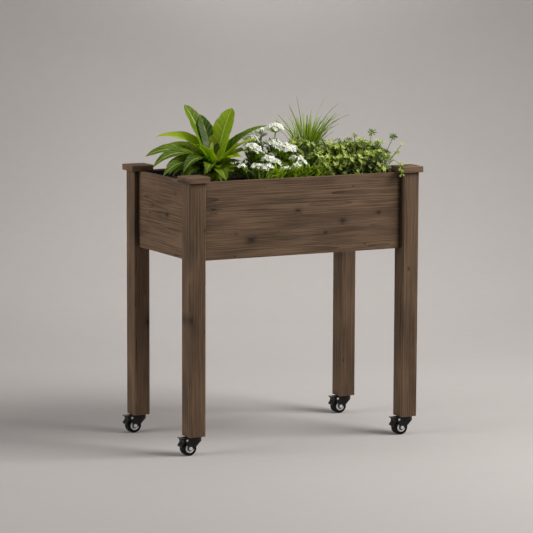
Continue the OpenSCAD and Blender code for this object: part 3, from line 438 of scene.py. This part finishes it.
def blade(plant, foot, heading, reach, rise, start, widths, fold, tone, across, thick, sway, roll,
          ripple=None, rib=0.0):
    """A long leaf along an arc: widths at even shares of its length, folded along its rib."""
    steps = len(widths)
    shares = np.linspace(0, 1, steps)
    out, up, angle = arc(reach, rise, start, shares)
    turn = math.radians(heading)
    ahead = np.array([math.cos(turn), math.sin(turn), 0])
    aside = np.array([-math.sin(turn), math.cos(turn), 0])
    upward = np.array([0, 0, 1.0])
    middle = np.array(foot) + out[:, None] * ahead + up[:, None] * upward
    middle = middle + (sway * shares ** 2)[:, None] * aside
    normal = -np.sin(angle)[:, None] * ahead + np.cos(angle)[:, None] * upward
    lean = roll * shares
    side_way = np.cos(lean)[:, None] * aside + np.sin(lean)[:, None] * normal
    top_way = -np.sin(lean)[:, None] * aside + np.cos(lean)[:, None] * normal
    marks = np.linspace(-1, 1, across)
    rings = []
    for i in range(steps):
        half = widths[i] / 2
        raise_edge = fold[i] * half * np.abs(marks)
        if ripple is not None:
            raise_edge = raise_edge + ripple[i] * marks ** 2 * np.where(marks > 0, 1, -0.6)
        belly = thick * (1 - marks ** 2) * 0.6 + rib * (1 - 0.7 * shares[i]) * np.exp(-(marks / 0.16) ** 2)
        groove = -0.25 * rib * (1 - shares[i]) * np.exp(-(marks / 0.1) ** 2)
        top = middle[i] + (marks * half)[:, None] * side_way[i] + (raise_edge + groove)[:, None] * top_way[i]
        under = top - (belly + 0.15)[:, None] * top_way[i]
        rings.append(np.concatenate([top, under[-2:0:-1]]))
    around = np.concatenate([marks, marks[-2:0:-1]])
    plant.put(rings, tube(steps, len(around)), side=np.tile(around, steps),
              along=np.repeat(shares, len(around)), tone=tone, finish=0)


def stalk(plant, points, radii, sides, tone, finish=0):
    """A closed round stem along a line of points, with its radius at each."""
    points = np.asarray(points, float)
    run = np.gradient(points, axis=0)
    run /= np.linalg.norm(run, axis=1)[:, None]
    first = np.cross(run[0], [0.31, 0.92, 0.23])
    turns = math.tau * np.arange(sides) / sides
    rings = []
    for centre, way, radius in zip(points, run, radii):
        first = first - way * (first @ way)
        first /= np.linalg.norm(first)
        second = np.cross(way, first)
        rings.append(centre + radius * (np.cos(turns)[:, None] * first + np.sin(turns)[:, None] * second))
    plant.put(rings, tube(len(points), sides), side=1.0, along=0.6, tone=tone, finish=finish)


def smooth_line(points, count):
    """A smooth curve through the points, as that many points."""
    points = np.asarray(points, float)
    padded = np.vstack([2 * points[0] - points[1], points, 2 * points[-1] - points[-2]])
    line = []
    for spot in np.linspace(0, len(points) - 1 - 1e-9, count):
        i, t = int(spot), spot - int(spot)
        a, b, c, d = padded[i:i + 4]
        line.append(0.5 * (2 * b + (c - a) * t + (2 * a - 5 * b + 4 * c - d) * t * t
                           + (3 * b - a - 3 * c + d) * t ** 3))
    return np.array(line)


def twig(plant, points, steps, thick, thin, sides, tone, finish=0):
    """A smooth stem through the points, from thick to thin. Gives its line."""
    line = smooth_line(points, steps)
    stalk(plant, line, np.linspace(thick, thin, steps), sides, tone, finish)
    return line


def dome_way(turn, tilt):
    """A direction out of a half ball, for a tilt of 0 straight up to 1 level."""
    return np.array([math.cos(turn) * tilt, math.sin(turn) * tilt, math.sqrt(max(0.0, 1 - tilt ** 2))])


# ---- the plants ----

def grow_broadleaf():
    """A rosette of long glossy leaves, each folded along its rib and rolled to the light, with a waved
    margin, over a skirt of shorter leaves."""
    plant = Growth(41)
    between = plant.between
    shares = np.linspace(0, 1, 25)
    past_middle = np.clip(2 * shares - 1, 0, 1)
    outline = np.where(shares < 0.5, 0.3 + 0.7 * np.sin(math.pi * np.minimum(shares, 0.5)),
                       (1 - past_middle ** 3.0) ** 0.7)
    pointed = np.where(shares < 0.5, outline, (1 - past_middle ** 2.0) ** 0.95)
    outline[-1] = pointed[-1] = 0.03
    # The tallest leaves are the fullest
    leaves = [(*leaf, 1.25 if leaf[2] > 180 else 1.08) for leaf in BROAD_LEAVES]
    for i in range(26):
        heading = GOLDEN_ANGLE * i
        # Those towards the front right stay low, so that the bright funnel of the crown shows
        front = math.cos(math.radians(heading + 100)) > 0.2
        leaves.append((heading, between(42, 80), between(4, 34 if front else 66),
                       between(68, 84), between(20, 29), between(0.0, 0.7), 1.0))
    # Young upright leaves inside the funnel
    for heading, reach, rise in ((60, 40, 118), (95, 46, 104), (25, 52, 100), (-20, 60, 84), (130, 60, 92)):
        leaves.append((heading, reach, rise, 84, 34, between(1.0, 1.4), 1.0))
    # Dark leaves at the back and left, painted dark as the shade that falls there
    for _ in range(22):
        leaves.append((between(60, 215), between(75, 140), between(4, 62),
                       between(66, 80), between(26, 36), between(-0.4, 0.2), 1.0))
    for heading, reach, rise, start, width, tone, fuller in leaves:
        waves = between(2.5, 4.5)
        ripple = between(0.8, 2.0) * np.sin(math.tau * waves * shares + between(0, 6)) * outline
        turn = math.radians(heading)
        flat_lying = min(max(1.3 - rise / reach, 0), 1)
        facing = -math.sin(turn) * TOWARD_VIEW[0] + math.cos(turn) * TOWARD_VIEW[1]
        roll = -0.8 * flat_lying * facing + between(-0.15, 0.15)
        fold = 0.55 - 0.35 * shares + between(-0.08, 0.08)
        nibble = 1 + 0.03 * np.sin(math.tau * between(5, 8) * shares + between(0, 6))
        blade(plant, (*BROAD_FOOT, LEAF_FOOT), heading, reach, rise - LEAF_FOOT, start,
              fuller * width * (outline if rise > 150 else pointed) * nibble, fold, tone, across=11,
              thick=0.7, sway=between(-8, 8), roll=roll, ripple=ripple, rib=1.5)
    # The crown that the leaves grow from, painted dark as the shade deep in the funnel of leaves
    heights = np.linspace(0, 30, 7)
    girths = 0.6 * CROWN_RADIUS * (1 - (heights / 34) ** 4)
    stalk(plant, [(*BROAD_FOOT, z) for z in heights], girths, sides=14, tone=-0.4)
    return plant


def grow_flowers():
    """A low bush of narrow leaves under loose round heads of small four-petalled white flowers."""
    plant = Growth(42)
    between, about = plant.between, plant.about
    places, ways, tones, sizes = [], [], [], []
    for x, y, top in FLOWER_CLUMPS:
        for _ in range(120):
            ball = dome_way(between(0, math.tau), between(0, 1) ** 0.6) * [1, 1, 0.9]
            # A leaf's tone falls the deeper it sits in the clump: painted shade inside the foliage
            deep = between(0.2, 0.98)
            places.append(np.array([x, y, top - FLOWER_RADIUS]) + ball * FLOWER_RADIUS * deep)
            ways.append(ball + about(0, 0.4, 3) + [0, 0, 0.5])
            tones.append(deep * 1.1 - 0.7 + between(-0.35, 0.35))
            sizes.append(between(11, 19))
    # Dark leaves low on the soil, painted dark as the shade under the bush
    for _ in range(900):
        places.append([between(-100, 70), between(-138, 88), between(2, 32)])
        ways.append([about(0, 0.6), about(0, 0.6), 1.0])
        tones.append(between(-0.5, 0.4))
        sizes.append(between(12, 22))
    # Young bright leaves in front, low over the rim
    for _ in range(150):
        x = plant.chance.choice([between(8, 84), between(-84, -36), between(-20, 14)])
        places.append([x, between(-140, -116), between(6, 34)])
        ways.append([about(0.25, 0.6), -0.5 + about(0, 0.3), 0.7])
        tones.append(between(0.5, 1.4))
        sizes.append(between(15, 26))
    many = len(places)
    plant.scatter(NARROW_LEAF, places, ways, about(0, 0.5, (many, 3)) + [0, -0.2, 0.8],
                  sizes, sizes * between(0.2, 0.32, many), tones)
    for x, y, top, share in FLOWER_HEADS + SIDE_HEADS:
        radius = FLOWER_RADIUS * share * (1.12 if share > 0.7 else 1.3)
        root = np.array([x * 0.7 - 8, y * 0.8 - 4, 0])
        fork = np.array([x, y, top - 0.95 * radius])
        line = twig(plant, [root, root * 0.4 + fork * 0.6 + [0, 0, 4], fork], 8, 1.5, 1.0, sides=6, tone=0.5)
        for knot in line[3:]:
            for _ in range(2):
                plant.scatter(NARROW_LEAF, knot, [(about(0, 1), about(0, 1), 0.7)],
                              [0, 0, 1], between(14, 21), 4.2, between(0.4, 1))
        florets = int(38 * (radius / FLOWER_RADIUS) ** 2) + 4
        for i in range(florets):
            span = math.sqrt((i + 0.5) / florets)
            turn = GOLDEN_TURN * i + between(-0.35, 0.35)
            out = np.array([math.cos(turn), math.sin(turn), 0])
            drop = 0.48 * radius * (1 - math.sqrt(max(0.0, 1 - 0.97 * span ** 2)))
            spot = np.array([x, y, 0]) + out * (span * (radius - 2.5) + between(-2, 1.5))
            spot[2] = top - 2.0 - drop + between(-6.5, 0.8)
            facing = out * (0.2 + 0.8 * span ** 1.5) + [-0.12, -0.4, 1.0] + about(0, 0.32, 3)
            facing /= np.linalg.norm(facing)
            stalk(plant, [fork, (fork + spot) / 2 + [0, 0, -1.5], spot - facing * 0.5],
                  [0.5, 0.4, 0.5], sides=4, tone=0.8)
            if span < 0.45 and between(0, 1) < 0.28:
                # A bud that has not opened yet
                stalk(plant, [spot - facing, spot + facing * 0.6, spot + facing * 2.6, spot + facing * 3.2],
                      [0.7, 1.7, 1.2, 0.3], sides=6, tone=0.9, finish=EYE)
                continue
            size = between(4.4, 5.8)
            arms = spokes(facing, [0.2, 0.9, 0.1], math.tau * (np.arange(4) + between(0, 1)) / 4)
            plant.scatter(PETAL, spot + arms * 0.3, arms + facing * 0.28, facing, size, size * 0.8,
                          between(0, 1), WHITE)
            stalk(plant, [spot - facing * 0.4, spot + facing * 0.3, spot + facing * 0.9],
                  [0.8, 1.0, 0.5], sides=5, tone=0.5, finish=EYE)
    return plant


def grow_grass():
    """A tuft of thin arching blades."""
    plant = Growth(43)
    between, about = plant.between, plant.about
    shares = np.linspace(0, 1, 11)
    taper = np.clip(1.0 - 0.85 * shares ** 1.6, 0.06, 1)
    arcs = []
    for i in range(BLADE_COUNT - len(LONG_BLADES)):
        arcs.append((GOLDEN_ANGLE * i, (0.07 + 0.17 * ((i * 7) % 10) / 10) * GRASS_HEIGHT,
                     (0.75 - 0.25 * ((i * 3) % 7) / 7) * GRASS_HEIGHT, 86, 5.0, 1.0))
    arcs += [(heading, min(reach, 126), rise, start, 0.0, 1.5) for heading, reach, rise, start in LONG_BLADES]
    for i in range(230):
        # Three in four lean to the right, where the light comes from
        heading = about(-12, 60) if i % 4 else between(0, 360)
        tall = between(80, 168)
        arcs.append((heading, tall * between(0.05, 0.6), tall, between(84, 90), between(2, 16), 1.4))
    for heading, reach, rise, start, off, share in arcs:
        turn = math.radians(heading)
        foot = (GRASS_FOOT[0] + off * math.cos(turn), GRASS_FOOT[1] + off * math.sin(turn), BLADE_FOOT)
        tone = between(0, 1) - (0.5 if share > 1.4 else 0)
        blade(plant, foot, heading, reach, rise - BLADE_FOOT, start,
              share * between(3.0, 4.4) * taper, np.full(11, 0.4), tone, across=5, thick=0.5,
              sway=between(-10, 10), roll=between(-0.5, 0.5))
    stalk(plant, [(*GRASS_FOOT, z) for z in np.linspace(0, 34, 6)], np.linspace(12, 7, 6), sides=16, tone=0.1)
    return plant


def rosette(plant, centre, facing, radius, leaves, tone, slim=0.27, lift=0.45):
    """A ring of narrow leaves about a twig's tip, with a few short ones inside."""
    between, about = plant.between, plant.about
    facing = facing / np.linalg.norm(facing)
    for ring, (count, rise, size) in enumerate(((leaves, lift, 1.0), (3, lift + 0.8, 0.5))):
        turns = math.tau * (np.arange(count) + 0.4 * ring) / count + between(0, 1)
        arms = spokes(facing, [0.2, 0.9, 0.3], turns)
        plant.scatter(STAR_LEAF, centre, arms + facing * rise + about(0, 0.1, (count, 3)), facing,
                      radius * size * between(0.8, 1.1, count), radius * slim * size ** 0.5,
                      tone + 0.3 * ring + between(-0.35, 0.42, count))


def grow_shrub():
    """A dense small-leaved shrub: stars of narrow leaves at the ends of its twigs, and on its shoots."""
    plant = Growth(44)
    between, about = plant.between, plant.about
    places, ways, tones = [], [], []
    # Its top is ragged: most clumps stay under the height that the solid gives them, the back ones more
    clumps = [(x, y, top - (between(2, 12) + (13 if y > -40 else 0) if which > 7 else 0), share)
              for which, (x, y, top, share) in enumerate(SHRUB_CLUMPS)]
    for x, y, top, share in clumps + YELLOW_CLUMPS:
        radius = CLUMP_RADIUS * share
        middle = np.array([x, y, top - radius])
        for _ in range(80):
            ball = dome_way(between(0, math.tau), between(0, 1) ** 0.6)
            # A leaf's tone falls the deeper it sits in the clump: painted shade inside the foliage
            deep = between(0.15, 0.75) ** 0.7
            places.append(middle + ball * radius * deep)
            ways.append(ball + about(0, 0.6, 3) + [0, 0, 0.35])
            tones.append(deep - 0.75 + between(-0.2, 0.25))
        twigs = 19
        for i in range(twigs):
            ball = dome_way(GOLDEN_TURN * i + between(-0.5, 0.5), math.sqrt((i + 0.6) / twigs))
            tip = middle + ball * radius * between(0.8, 0.98)
            foot = np.array([x * 0.9 + 18, y * 0.85 - 4, 4])
            if i % 3 == 0:
                twig(plant, [foot, foot * 0.45 + tip * 0.55 + [0, 0, 5], tip], 6, 1.3, 0.7, sides=5,
                     tone=0.2, finish=STEM)
            # Young stars are bright and old ones dark, with little between
            young = between(0, 1) < (0.58 if x > 135 else 0.45)
            tone = between(0.55, 1.4) if young else between(-0.5, 0.3)
            # Stars higher on the clump get more tone: painted light from above
            rosette(plant, tip, ball + [0, 0, 0.25] + about(0, 0.35, 3), between(8, 12), 7,
                    tone + 0.2 * ball[2] + (0.2 if x < 130 else 0))
    # Low twigs along the rim, and more of them at the right end
    for i in range(150):
        x = between(248, 290) if i % 3 == 0 else between(72, 284)
        tip = np.array([x, between(-136, -104), between(8, 66)])
        rosette(plant, tip, [0.0, -0.7, 0.6] + about(0, 0.4, 3), between(8, 12), 7, between(-0.4, 1.2))
    # Dark leaves low on the soil, painted dark as the shade under the shrub
    for _ in range(1300):
        places.append([between(72, 284), between(-134, 136), between(2, 40)])
        ways.append([about(0, 0.7), about(0, 0.7), 1.0])
        tones.append(between(-0.6, 0.2))
    many = len(places)
    plant.scatter(STAR_LEAF, places, ways, about(0, 0.6, (many, 3)) + [0, 0, 0.8],
                  between(8, 12, many), between(3.4, 5.0, many), tones)
    # Short twigs that stand out of the mass
    for x, y, top, share in clumps[7:] + clumps[7:28] + clumps[11:21]:
        tip = np.array([x + about(0, 12), y + about(0, 10), top + between(-10, 9)])
        root = tip + [about(0, 5), 6, -26]
        middle = (root + tip) / 2 + [about(0, 2), 0, 2]
        line = twig(plant, [root, middle, tip], 6, 1.0, 0.6, sides=5, tone=0.5, finish=STEM)
        tone = between(-0.3, 0.9)
        rosette(plant, tip, [-0.25, -0.6, 0.7] + about(0, 0.3, 3), between(9, 13), 8,
                tone, slim=0.26, lift=0.3)
        rosette(plant, line[3], line[-1] - line[-2] + [0, 0, 1.0], between(7, 10), 5, tone,
                slim=0.28, lift=0.4)
    for x, y, z, share, tone in SHRUB_SHOOTS:
        tip = np.array([x, y, z], float)
        foot = np.array([0.65 * x + 70, y + 10, 30])
        line = twig(plant, [foot, foot * 0.4 + tip * 0.6 + [2, 0, 3], tip], 8, 1.2, 0.7, sides=6, tone=0.7,
                    finish=STEM)
        radius = WHORL_RADIUS * share
        rosette(plant, tip, np.array([-0.3, -0.75, 0.6]), radius * 1.15, 9, tone, slim=0.25, lift=0.12)
        for step in (3, 5):
            rosette(plant, line[step], line[-1] - line[-2] + [0, 0, 1.2], radius * 0.6, 4, 0.5,
                    slim=0.4, lift=0.2)
    return plant


def grow_sprig():
    """A pale young sprig that arches over the corner cap and hangs in front of the wall."""
    plant = Growth(45)
    between, about = plant.between, plant.about
    line = twig(plant, SPRIG_POINTS, 26, 1.3, 0.6, sides=6, tone=0.6)
    for joint, off, size in SPRIG_LEAVES:
        start = np.array(SPRIG_POINTS[joint], float)
        way = np.array(off, float)
        reach = np.linalg.norm(way)
        stalk(plant, smooth_line([start, start + way * 0.35 + [0, 0, 0.8], start + way * 0.6], 4),
              [0.5, 0.45, 0.4, 0.4], sides=4, tone=0.7)
        for lift, share in ((0.0, 1.0), (0.5, 0.6), (-0.5, 0.6)):
            turned = way / reach + lift * np.cross(way / reach, [0, 0, 1.0])
            plant.scatter(OVAL_LEAF, start + way * 0.5, [turned], [0, -0.3, 1.0],
                          (reach * 0.5 + size * 0.5) * share, size * 0.75 * share,
                          between(0.3, 1) - (0.7 if joint > 3 else 0))
    for i in range(7, 26):
        plant.scatter(OVAL_LEAF, line[i], [about(0, 1, 3) + [0, -0.4, 0.4]], [0, -0.5, 1.0],
                      between(5, 8), between(2.8, 4.2), between(-0.3, 0.8) - (0.4 if i > 17 else 0))
    return plant


def turned_soil(chance):
    """Potting mix as filled by hand: a lumpy top over the soil's plan, and where its corners are cut out."""
    low, high = (np.array(corner) * 1000 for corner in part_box("soil"))
    xs, ys = (np.linspace(low[axis], high[axis], int((high[axis] - low[axis]) / SOIL_GRID))
              for axis in (0, 1))
    grid_x, grid_y = np.meshgrid(xs, ys, indexing="ij")
    height = np.zeros_like(grid_x)
    for wave, size in ((70, 1.8), (28, 1.3), (11, 1.1), (6, 0.8)):
        for _ in range(7):
            turn = chance.uniform(0, math.tau)
            across = grid_x * math.cos(turn) + grid_y * math.sin(turn)
            height += size / 2.6 * np.sin(across * math.tau / wave / chance.uniform(0.8, 1.3)
                                          + chance.uniform(0, 6))
    inset_x = np.minimum(grid_x - low[0], high[0] - grid_x)
    inset_y = np.minimum(grid_y - low[1], high[1] - grid_y)
    near_wall = np.clip(np.minimum(inset_x, inset_y) / 12, 0, 1)
    top = high[2] + height * (0.3 + 0.7 * near_wall) * 0.8
    outside = (inset_x < SOIL_NOTCH) & (inset_y < SOIL_NOTCH)
    return low[2], xs, ys, top, outside


def any_of_four(grid):
    """Where a grid has one or more of four neighbours."""
    return grid[:-1, :-1] | grid[1:, :-1] | grid[:-1, 1:] | grid[1:, 1:]


def lay_soil(material):
    """The soil's body with its notched corners, and what lies on it."""
    plant = Growth(46)
    chance = plant.chance
    bottom, xs, ys, top, outside = turned_soil(chance)
    cells = ~any_of_four(outside)
    kept = np.pad(cells, 1)
    used = any_of_four(kept)
    index = -np.ones(top.shape, int)
    total = used.sum()
    index[used] = np.arange(total)
    flat = np.argwhere(used)
    upper = np.column_stack([xs[flat[:, 0]], ys[flat[:, 1]], top[used]])
    lower = upper.copy()
    lower[:, 2] = bottom
    faces = []
    for i, j in np.argwhere(cells):
        a, b, c, d = index[i, j], index[i + 1, j], index[i + 1, j + 1], index[i, j + 1]
        faces.append([a, b, c, d])
        faces.append([d + total, c + total, b + total, a + total])
        # A side wall where the next cell is left out
        for p, q, di, dj in ((a, b, 1, 0), (b, c, 2, 1), (c, d, 1, 2), (d, a, 0, 1)):
            if not kept[i + di, j + dj]:
                faces.append([q, p, p + total, q + total])
    plant.put(np.vstack([upper, lower]) - BED_MIDDLE, faces, side=1.0, along=0.5, tone=0.35, finish=0)
    # Crumbs and bark, 2 to 9 mm
    many = 2600
    spot_i = chance.integers(6, len(xs) - 6, many)
    spot_j = chance.integers(6, len(ys) - 6, many)
    good = ~outside[spot_i, spot_j]
    spot_i, spot_j = spot_i[good], spot_j[good]
    many = len(spot_i)
    places = np.column_stack([xs[spot_i], ys[spot_j], top[spot_i, spot_j] + 0.3]) - BED_MIDDLE
    ways = np.column_stack([chance.normal(0, deviation, many) for deviation in (1, 1, 0.25)])
    sizes = chance.uniform(2.2, 6.5, many) * np.where(chance.uniform(0, 1, many) > 0.93, 1.7, 1)
    plant.scatter(SOIL_CRUMB, places, ways, [0, 0, 1], sizes, sizes * chance.uniform(0.5, 1, many),
                  chance.uniform(0, 1, many))
    plant.raise_on("potting_soil", [material], "soil", "potting_mix", crease=60)


# ---- finishes on the solids ----

def dress(name, material):
    """Gives a CAD node its one material."""
    slots = nodes[name].data.materials
    slots.clear()
    slots.append(material)


# Boards, with the way that their grain runs and how bright they are. The two right-hand posts are made
# darker as a whole, as painted shade for their shaded left faces
boards = []
for corner, tone_and_painted_shade in zip(CORNERS, (0.97, 0.92, 0.97, 0.88)):
    boards += [("post_" + corner, "z", tone_and_painted_shade), ("cap_" + corner, "x", 1.05)]
for wall, grain in (("front", "x"), ("back", "x"), ("left", "y"), ("right", "y")):
    boards += [(f"plank_{wall}_{row}", grain, 1.0) for row in ("low", "mid", "top")]
boards += [("rail_front", "x", 1.1), ("rail_back", "x", 1.1), ("floor_slats", "y", 1.1)]
for seed, (name, grain, tone_and_painted_shade) in enumerate(boards, 8):
    dress(name, stained_fir(name, grain, seed, tone_and_painted_shade))

# Zinc-plated steel hardware: bright, a little clouded by the plating bath
zinc = finish_of("zinc_plated_steel", "#f0f0ee", "#dededc",
                 grain_mm=1.2, relief_mm=0.01, roughness=0.5, metallic=0.7)
# Pressed steel, black powder coat: a fine orange peel of about 0.8 mm, satin
powder_coat = finish_of("black_powder_coated_steel", "#080909", "#121313",
                        grain_mm=0.8, relief_mm=0.03, roughness=0.42, Specular_IOR_Level=0.35)
# Stem and bearing race: steel blackened in hot oxide
black_oxide = finish_of("black_oxide_steel", "#161718", "#232425",
                        grain_mm=1.0, relief_mm=0.01, roughness=0.38, metallic=0.7)
# Tyre: cast polyurethane, black, softly matt, scuffed on its tread
polyurethane = finish_of("black_polyurethane_tyre", "#030303", "#0b0b0b",
                         grain_mm=1.5, relief_mm=0.04, roughness=0.5, Specular_IOR_Level=0.2)
# Wheel centre: moulded nylon, white, smooth with a faint flow mottle
nylon = finish_of("white_moulded_nylon", "#fbfbf9", "#f3f2f0",
                  grain_mm=2.5, relief_mm=0.01, roughness=0.35)
# Brake pedal: pressed steel, black electrocoat, a little glossier than the fork
electrocoat = finish_of("black_electrocoat_steel", "#060707", "#0f1010",
                        grain_mm=0.7, relief_mm=0.02, roughness=0.34, Specular_IOR_Level=0.35)
# Liner: woven black polypropylene, matt
woven = finish_of("black_woven_liner", "#0b0a09", "#151310",
                  grain_mm=1.6, relief_mm=0.2, roughness=0.8, Specular_IOR_Level=0.2)

for part, finish in (("stem", black_oxide), ("fork", powder_coat), ("tyre", polyurethane), ("hub", nylon),
                     ("axle", zinc), ("pedal", electrocoat), ("rivet", zinc)):
    for corner in CORNERS:
        dress(f"{part}_{corner}", finish)
for name, finish in (("floor_screws", zinc), ("stem_inserts", zinc), ("liner", woven)):
    dress(name, finish)

# ---- the planting ----

# Potting mix: peat and bark crumbs of 2 to 6 mm, nearly black where damp
lay_soil(finish_of("damp_potting_mix", "#1f1712", "#3a2b20", grain_mm=3.0, relief_mm=1.2, roughness=0.9))

glossy_green = leaf_finish("glossy_broad_leaf", "#314a06", "#9cb512", "#b9c65a", 0.42, veins=13,
                           foot="#a4bc16", gloss=0.2)
grow_broadleaf().raise_on("broad_leaves", [glossy_green], "broadleaf_plant", "broad_leaf", crease=50)

bush_green = leaf_finish("narrow_bush_leaf", "#3d5f0a", "#a2bd1e", "#b9cb50", 0.4)
white_petal = leaf_finish("white_petal", "#f6f6ea", "#fffffa", "#fafaee", 0.6, foot="#e6ecb6", through=0.0)
flower_eye = leaf_finish("flower_eye", "#b7bd4a", "#d5d26a", "#d5d26a", 0.6, through=0.0)
grow_flowers().raise_on("flowering_bush", [bush_green, white_petal, flower_eye], "flowering_plant",
                        "flowers_and_foliage")

grass_green = leaf_finish("grass_blade", "#456a0a", "#a9c436", "#bcd46a", 0.42)
grow_grass().raise_on("grass_blades", [grass_green], "grass_tuft", "grass_blade")

shrub_green = leaf_finish("shrub_leaf", "#34520c", "#d0e16c", "#e2ec9c", 0.38, through=0.15)
shrub_stem = leaf_finish("shrub_stem", "#4a5a2c", "#7f9150", "#7f9150", 0.6)
grow_shrub().raise_on("shrub_leaves", [shrub_green, shrub_stem], "leafy_shrub", "shrub_foliage")

sprig_green = leaf_finish("young_sprig_leaf", "#6f8f24", "#b4c850", "#d0dd84", 0.45)
grow_sprig().raise_on("sprig_leaves", [sprig_green], "trailing_sprig", "sprig_leaf")

# ---- floor, light and camera ----

CAMERA_PLACE = Vector((-3.4406, -6.5864, 1.4905))
CAMERA_YAW, CAMERA_PITCH, CAMERA_ROLL = math.radians(27.50), math.radians(7.95), math.radians(0.22)
PICTURE_PIXELS, FOCAL_PIXELS, SENSOR_MM = 533, 2801.3, 36.0
view_way = Vector((math.sin(CAMERA_YAW), math.cos(CAMERA_YAW), 0))
right_way = Vector((math.cos(CAMERA_YAW), -math.sin(CAMERA_YAW), 0))
floor_start = Vector((CAMERA_PLACE.x, CAMERA_PLACE.y, 0))


def sweep(material):
    """A seamless paper sweep: floor, a wide bend behind the planter, and the wall, square to the view."""
    radius, floor_end, wall_top, half_width = 2.2, 9.2, 6.5, 9.0
    profile = [(-4.0, 0.0)]
    profile += [(floor_end + radius * math.sin(a), radius * (1 - math.cos(a)))
                for a in np.linspace(0, math.pi / 2, 28)]
    profile.append((floor_end + radius, wall_top))
    points = [list(floor_start + view_way * out + right_way * aside + Vector((0, 0, up)))
              for out, up in profile for aside in (-half_width, half_width)]
    faces = [[2 * i, 2 * i + 1, 2 * i + 3, 2 * i + 2] for i in range(len(profile) - 1)]
    mesh = bpy.data.meshes.new("paper_sweep")
    mesh.from_pydata(points, [], faces)
    mesh.materials.append(material)
    mesh.shade_smooth()
    new_object("paper_sweep", mesh)


# Studio paper, warm pale grey, matt, with a tooth too fine to show. It shows from its front only, so that
# a view from behind the wall still finds the planter
paper = finish_of("pale_studio_paper", "#c2bcb8", "#bfb9b5",
                  grain_mm=40.0, relief_mm=0.05, roughness=0.9)
paper_nodes = paper.node_tree.nodes
one_sided = add(paper.node_tree, "MixShader", {
    0: add(paper.node_tree, "NewGeometry").outputs["Backfacing"],
    1: paper_nodes["Principled BSDF"],
    2: add(paper.node_tree, "BsdfTransparent"),
})
connect(paper_nodes["Material Output"], {"Surface": one_sided})
sweep(paper)


def lamp(kind, name, place, way, power, **settings):
    """A lamp at a place that shines along a way."""
    light = bpy.data.lights.new(name, kind)
    light.energy = power
    for setting, value in settings.items():
        setattr(light, setting, value)
    fitting = new_object(name, light)
    fitting.location = place
    fitting.rotation_euler = way.to_track_quat("-Z", "Y").to_euler()


# A key from the front right, halfway up the sky, a lower fill from the left, and a soft box overhead
planter_middle = Vector((0, 0, 0.45))
for name, off, size, power in (("key", (2.0, -1.65, 2.2), 1.9, 122),
                               ("left_fill", (-5.38, 0.53, 1.46), 3.4, 162),
                               ("overhead", (0, 0, 3.4), 3.0, 30)):
    place = planter_middle + Vector(off)
    lamp("AREA", name, place, planter_middle - place, power, shape="RECTANGLE", size=size, size_y=size)
# Three wide soft-edged spots behind the planter that light only the paper: its floor, its bend and its wall
for name, out, aim_out, aim_down, cone, power in (("floor_spot", 8.55, 0.5, 2.2, 76, 37),
                                                  ("bend_spot", 8.9, 1.05, 2.2, 72, 53),
                                                  ("wall_spot", 8.9, 2.2, 0.5, 62, 134)):
    lamp("SPOT", name, floor_start + view_way * out + Vector((0, 0, 2.6)),
         view_way * aim_out + Vector((0, 0, -aim_down)), power,
         spot_size=math.radians(cone), spot_blend=1.0, shadow_soft_size=0.1)

# The air is faint on the planter. Past the paper's edge the camera sees it in the paper's grey
world = bpy.data.worlds.new("studio_air")
world.use_nodes = True
seen = add(world.node_tree, "LightPath").outputs["Is Camera Ray"]
connect(world.node_tree.nodes["Background"], {
    "Color": linear("#f2efec"),
    "Strength": add(world.node_tree, "Math", {0: seen, 1: 0.38, 2: 0.01}, "MULTIPLY_ADD"),
})
bpy.context.scene.world = world

camera_data = bpy.data.cameras.new("camera")
camera_data.sensor_fit, camera_data.sensor_width = "HORIZONTAL", SENSOR_MM
camera_data.lens = FOCAL_PIXELS / PICTURE_PIXELS * SENSOR_MM
camera_data.clip_end = 100
camera = new_object("camera", camera_data)
level = math.cos(CAMERA_PITCH)
forward = Vector((math.sin(CAMERA_YAW) * level, math.cos(CAMERA_YAW) * level, -math.sin(CAMERA_PITCH)))
above = right_way.cross(forward)
camera_right = math.cos(CAMERA_ROLL) * right_way + math.sin(CAMERA_ROLL) * above
camera_up = -math.sin(CAMERA_ROLL) * right_way + math.cos(CAMERA_ROLL) * above
turn = Matrix((camera_right, camera_up, -forward)).transposed().to_4x4()
camera.matrix_world = Matrix.Translation(CAMERA_PLACE) @ turn
bpy.context.scene.camera = camera
bpy.context.scene.view_settings.view_transform = "Standard"
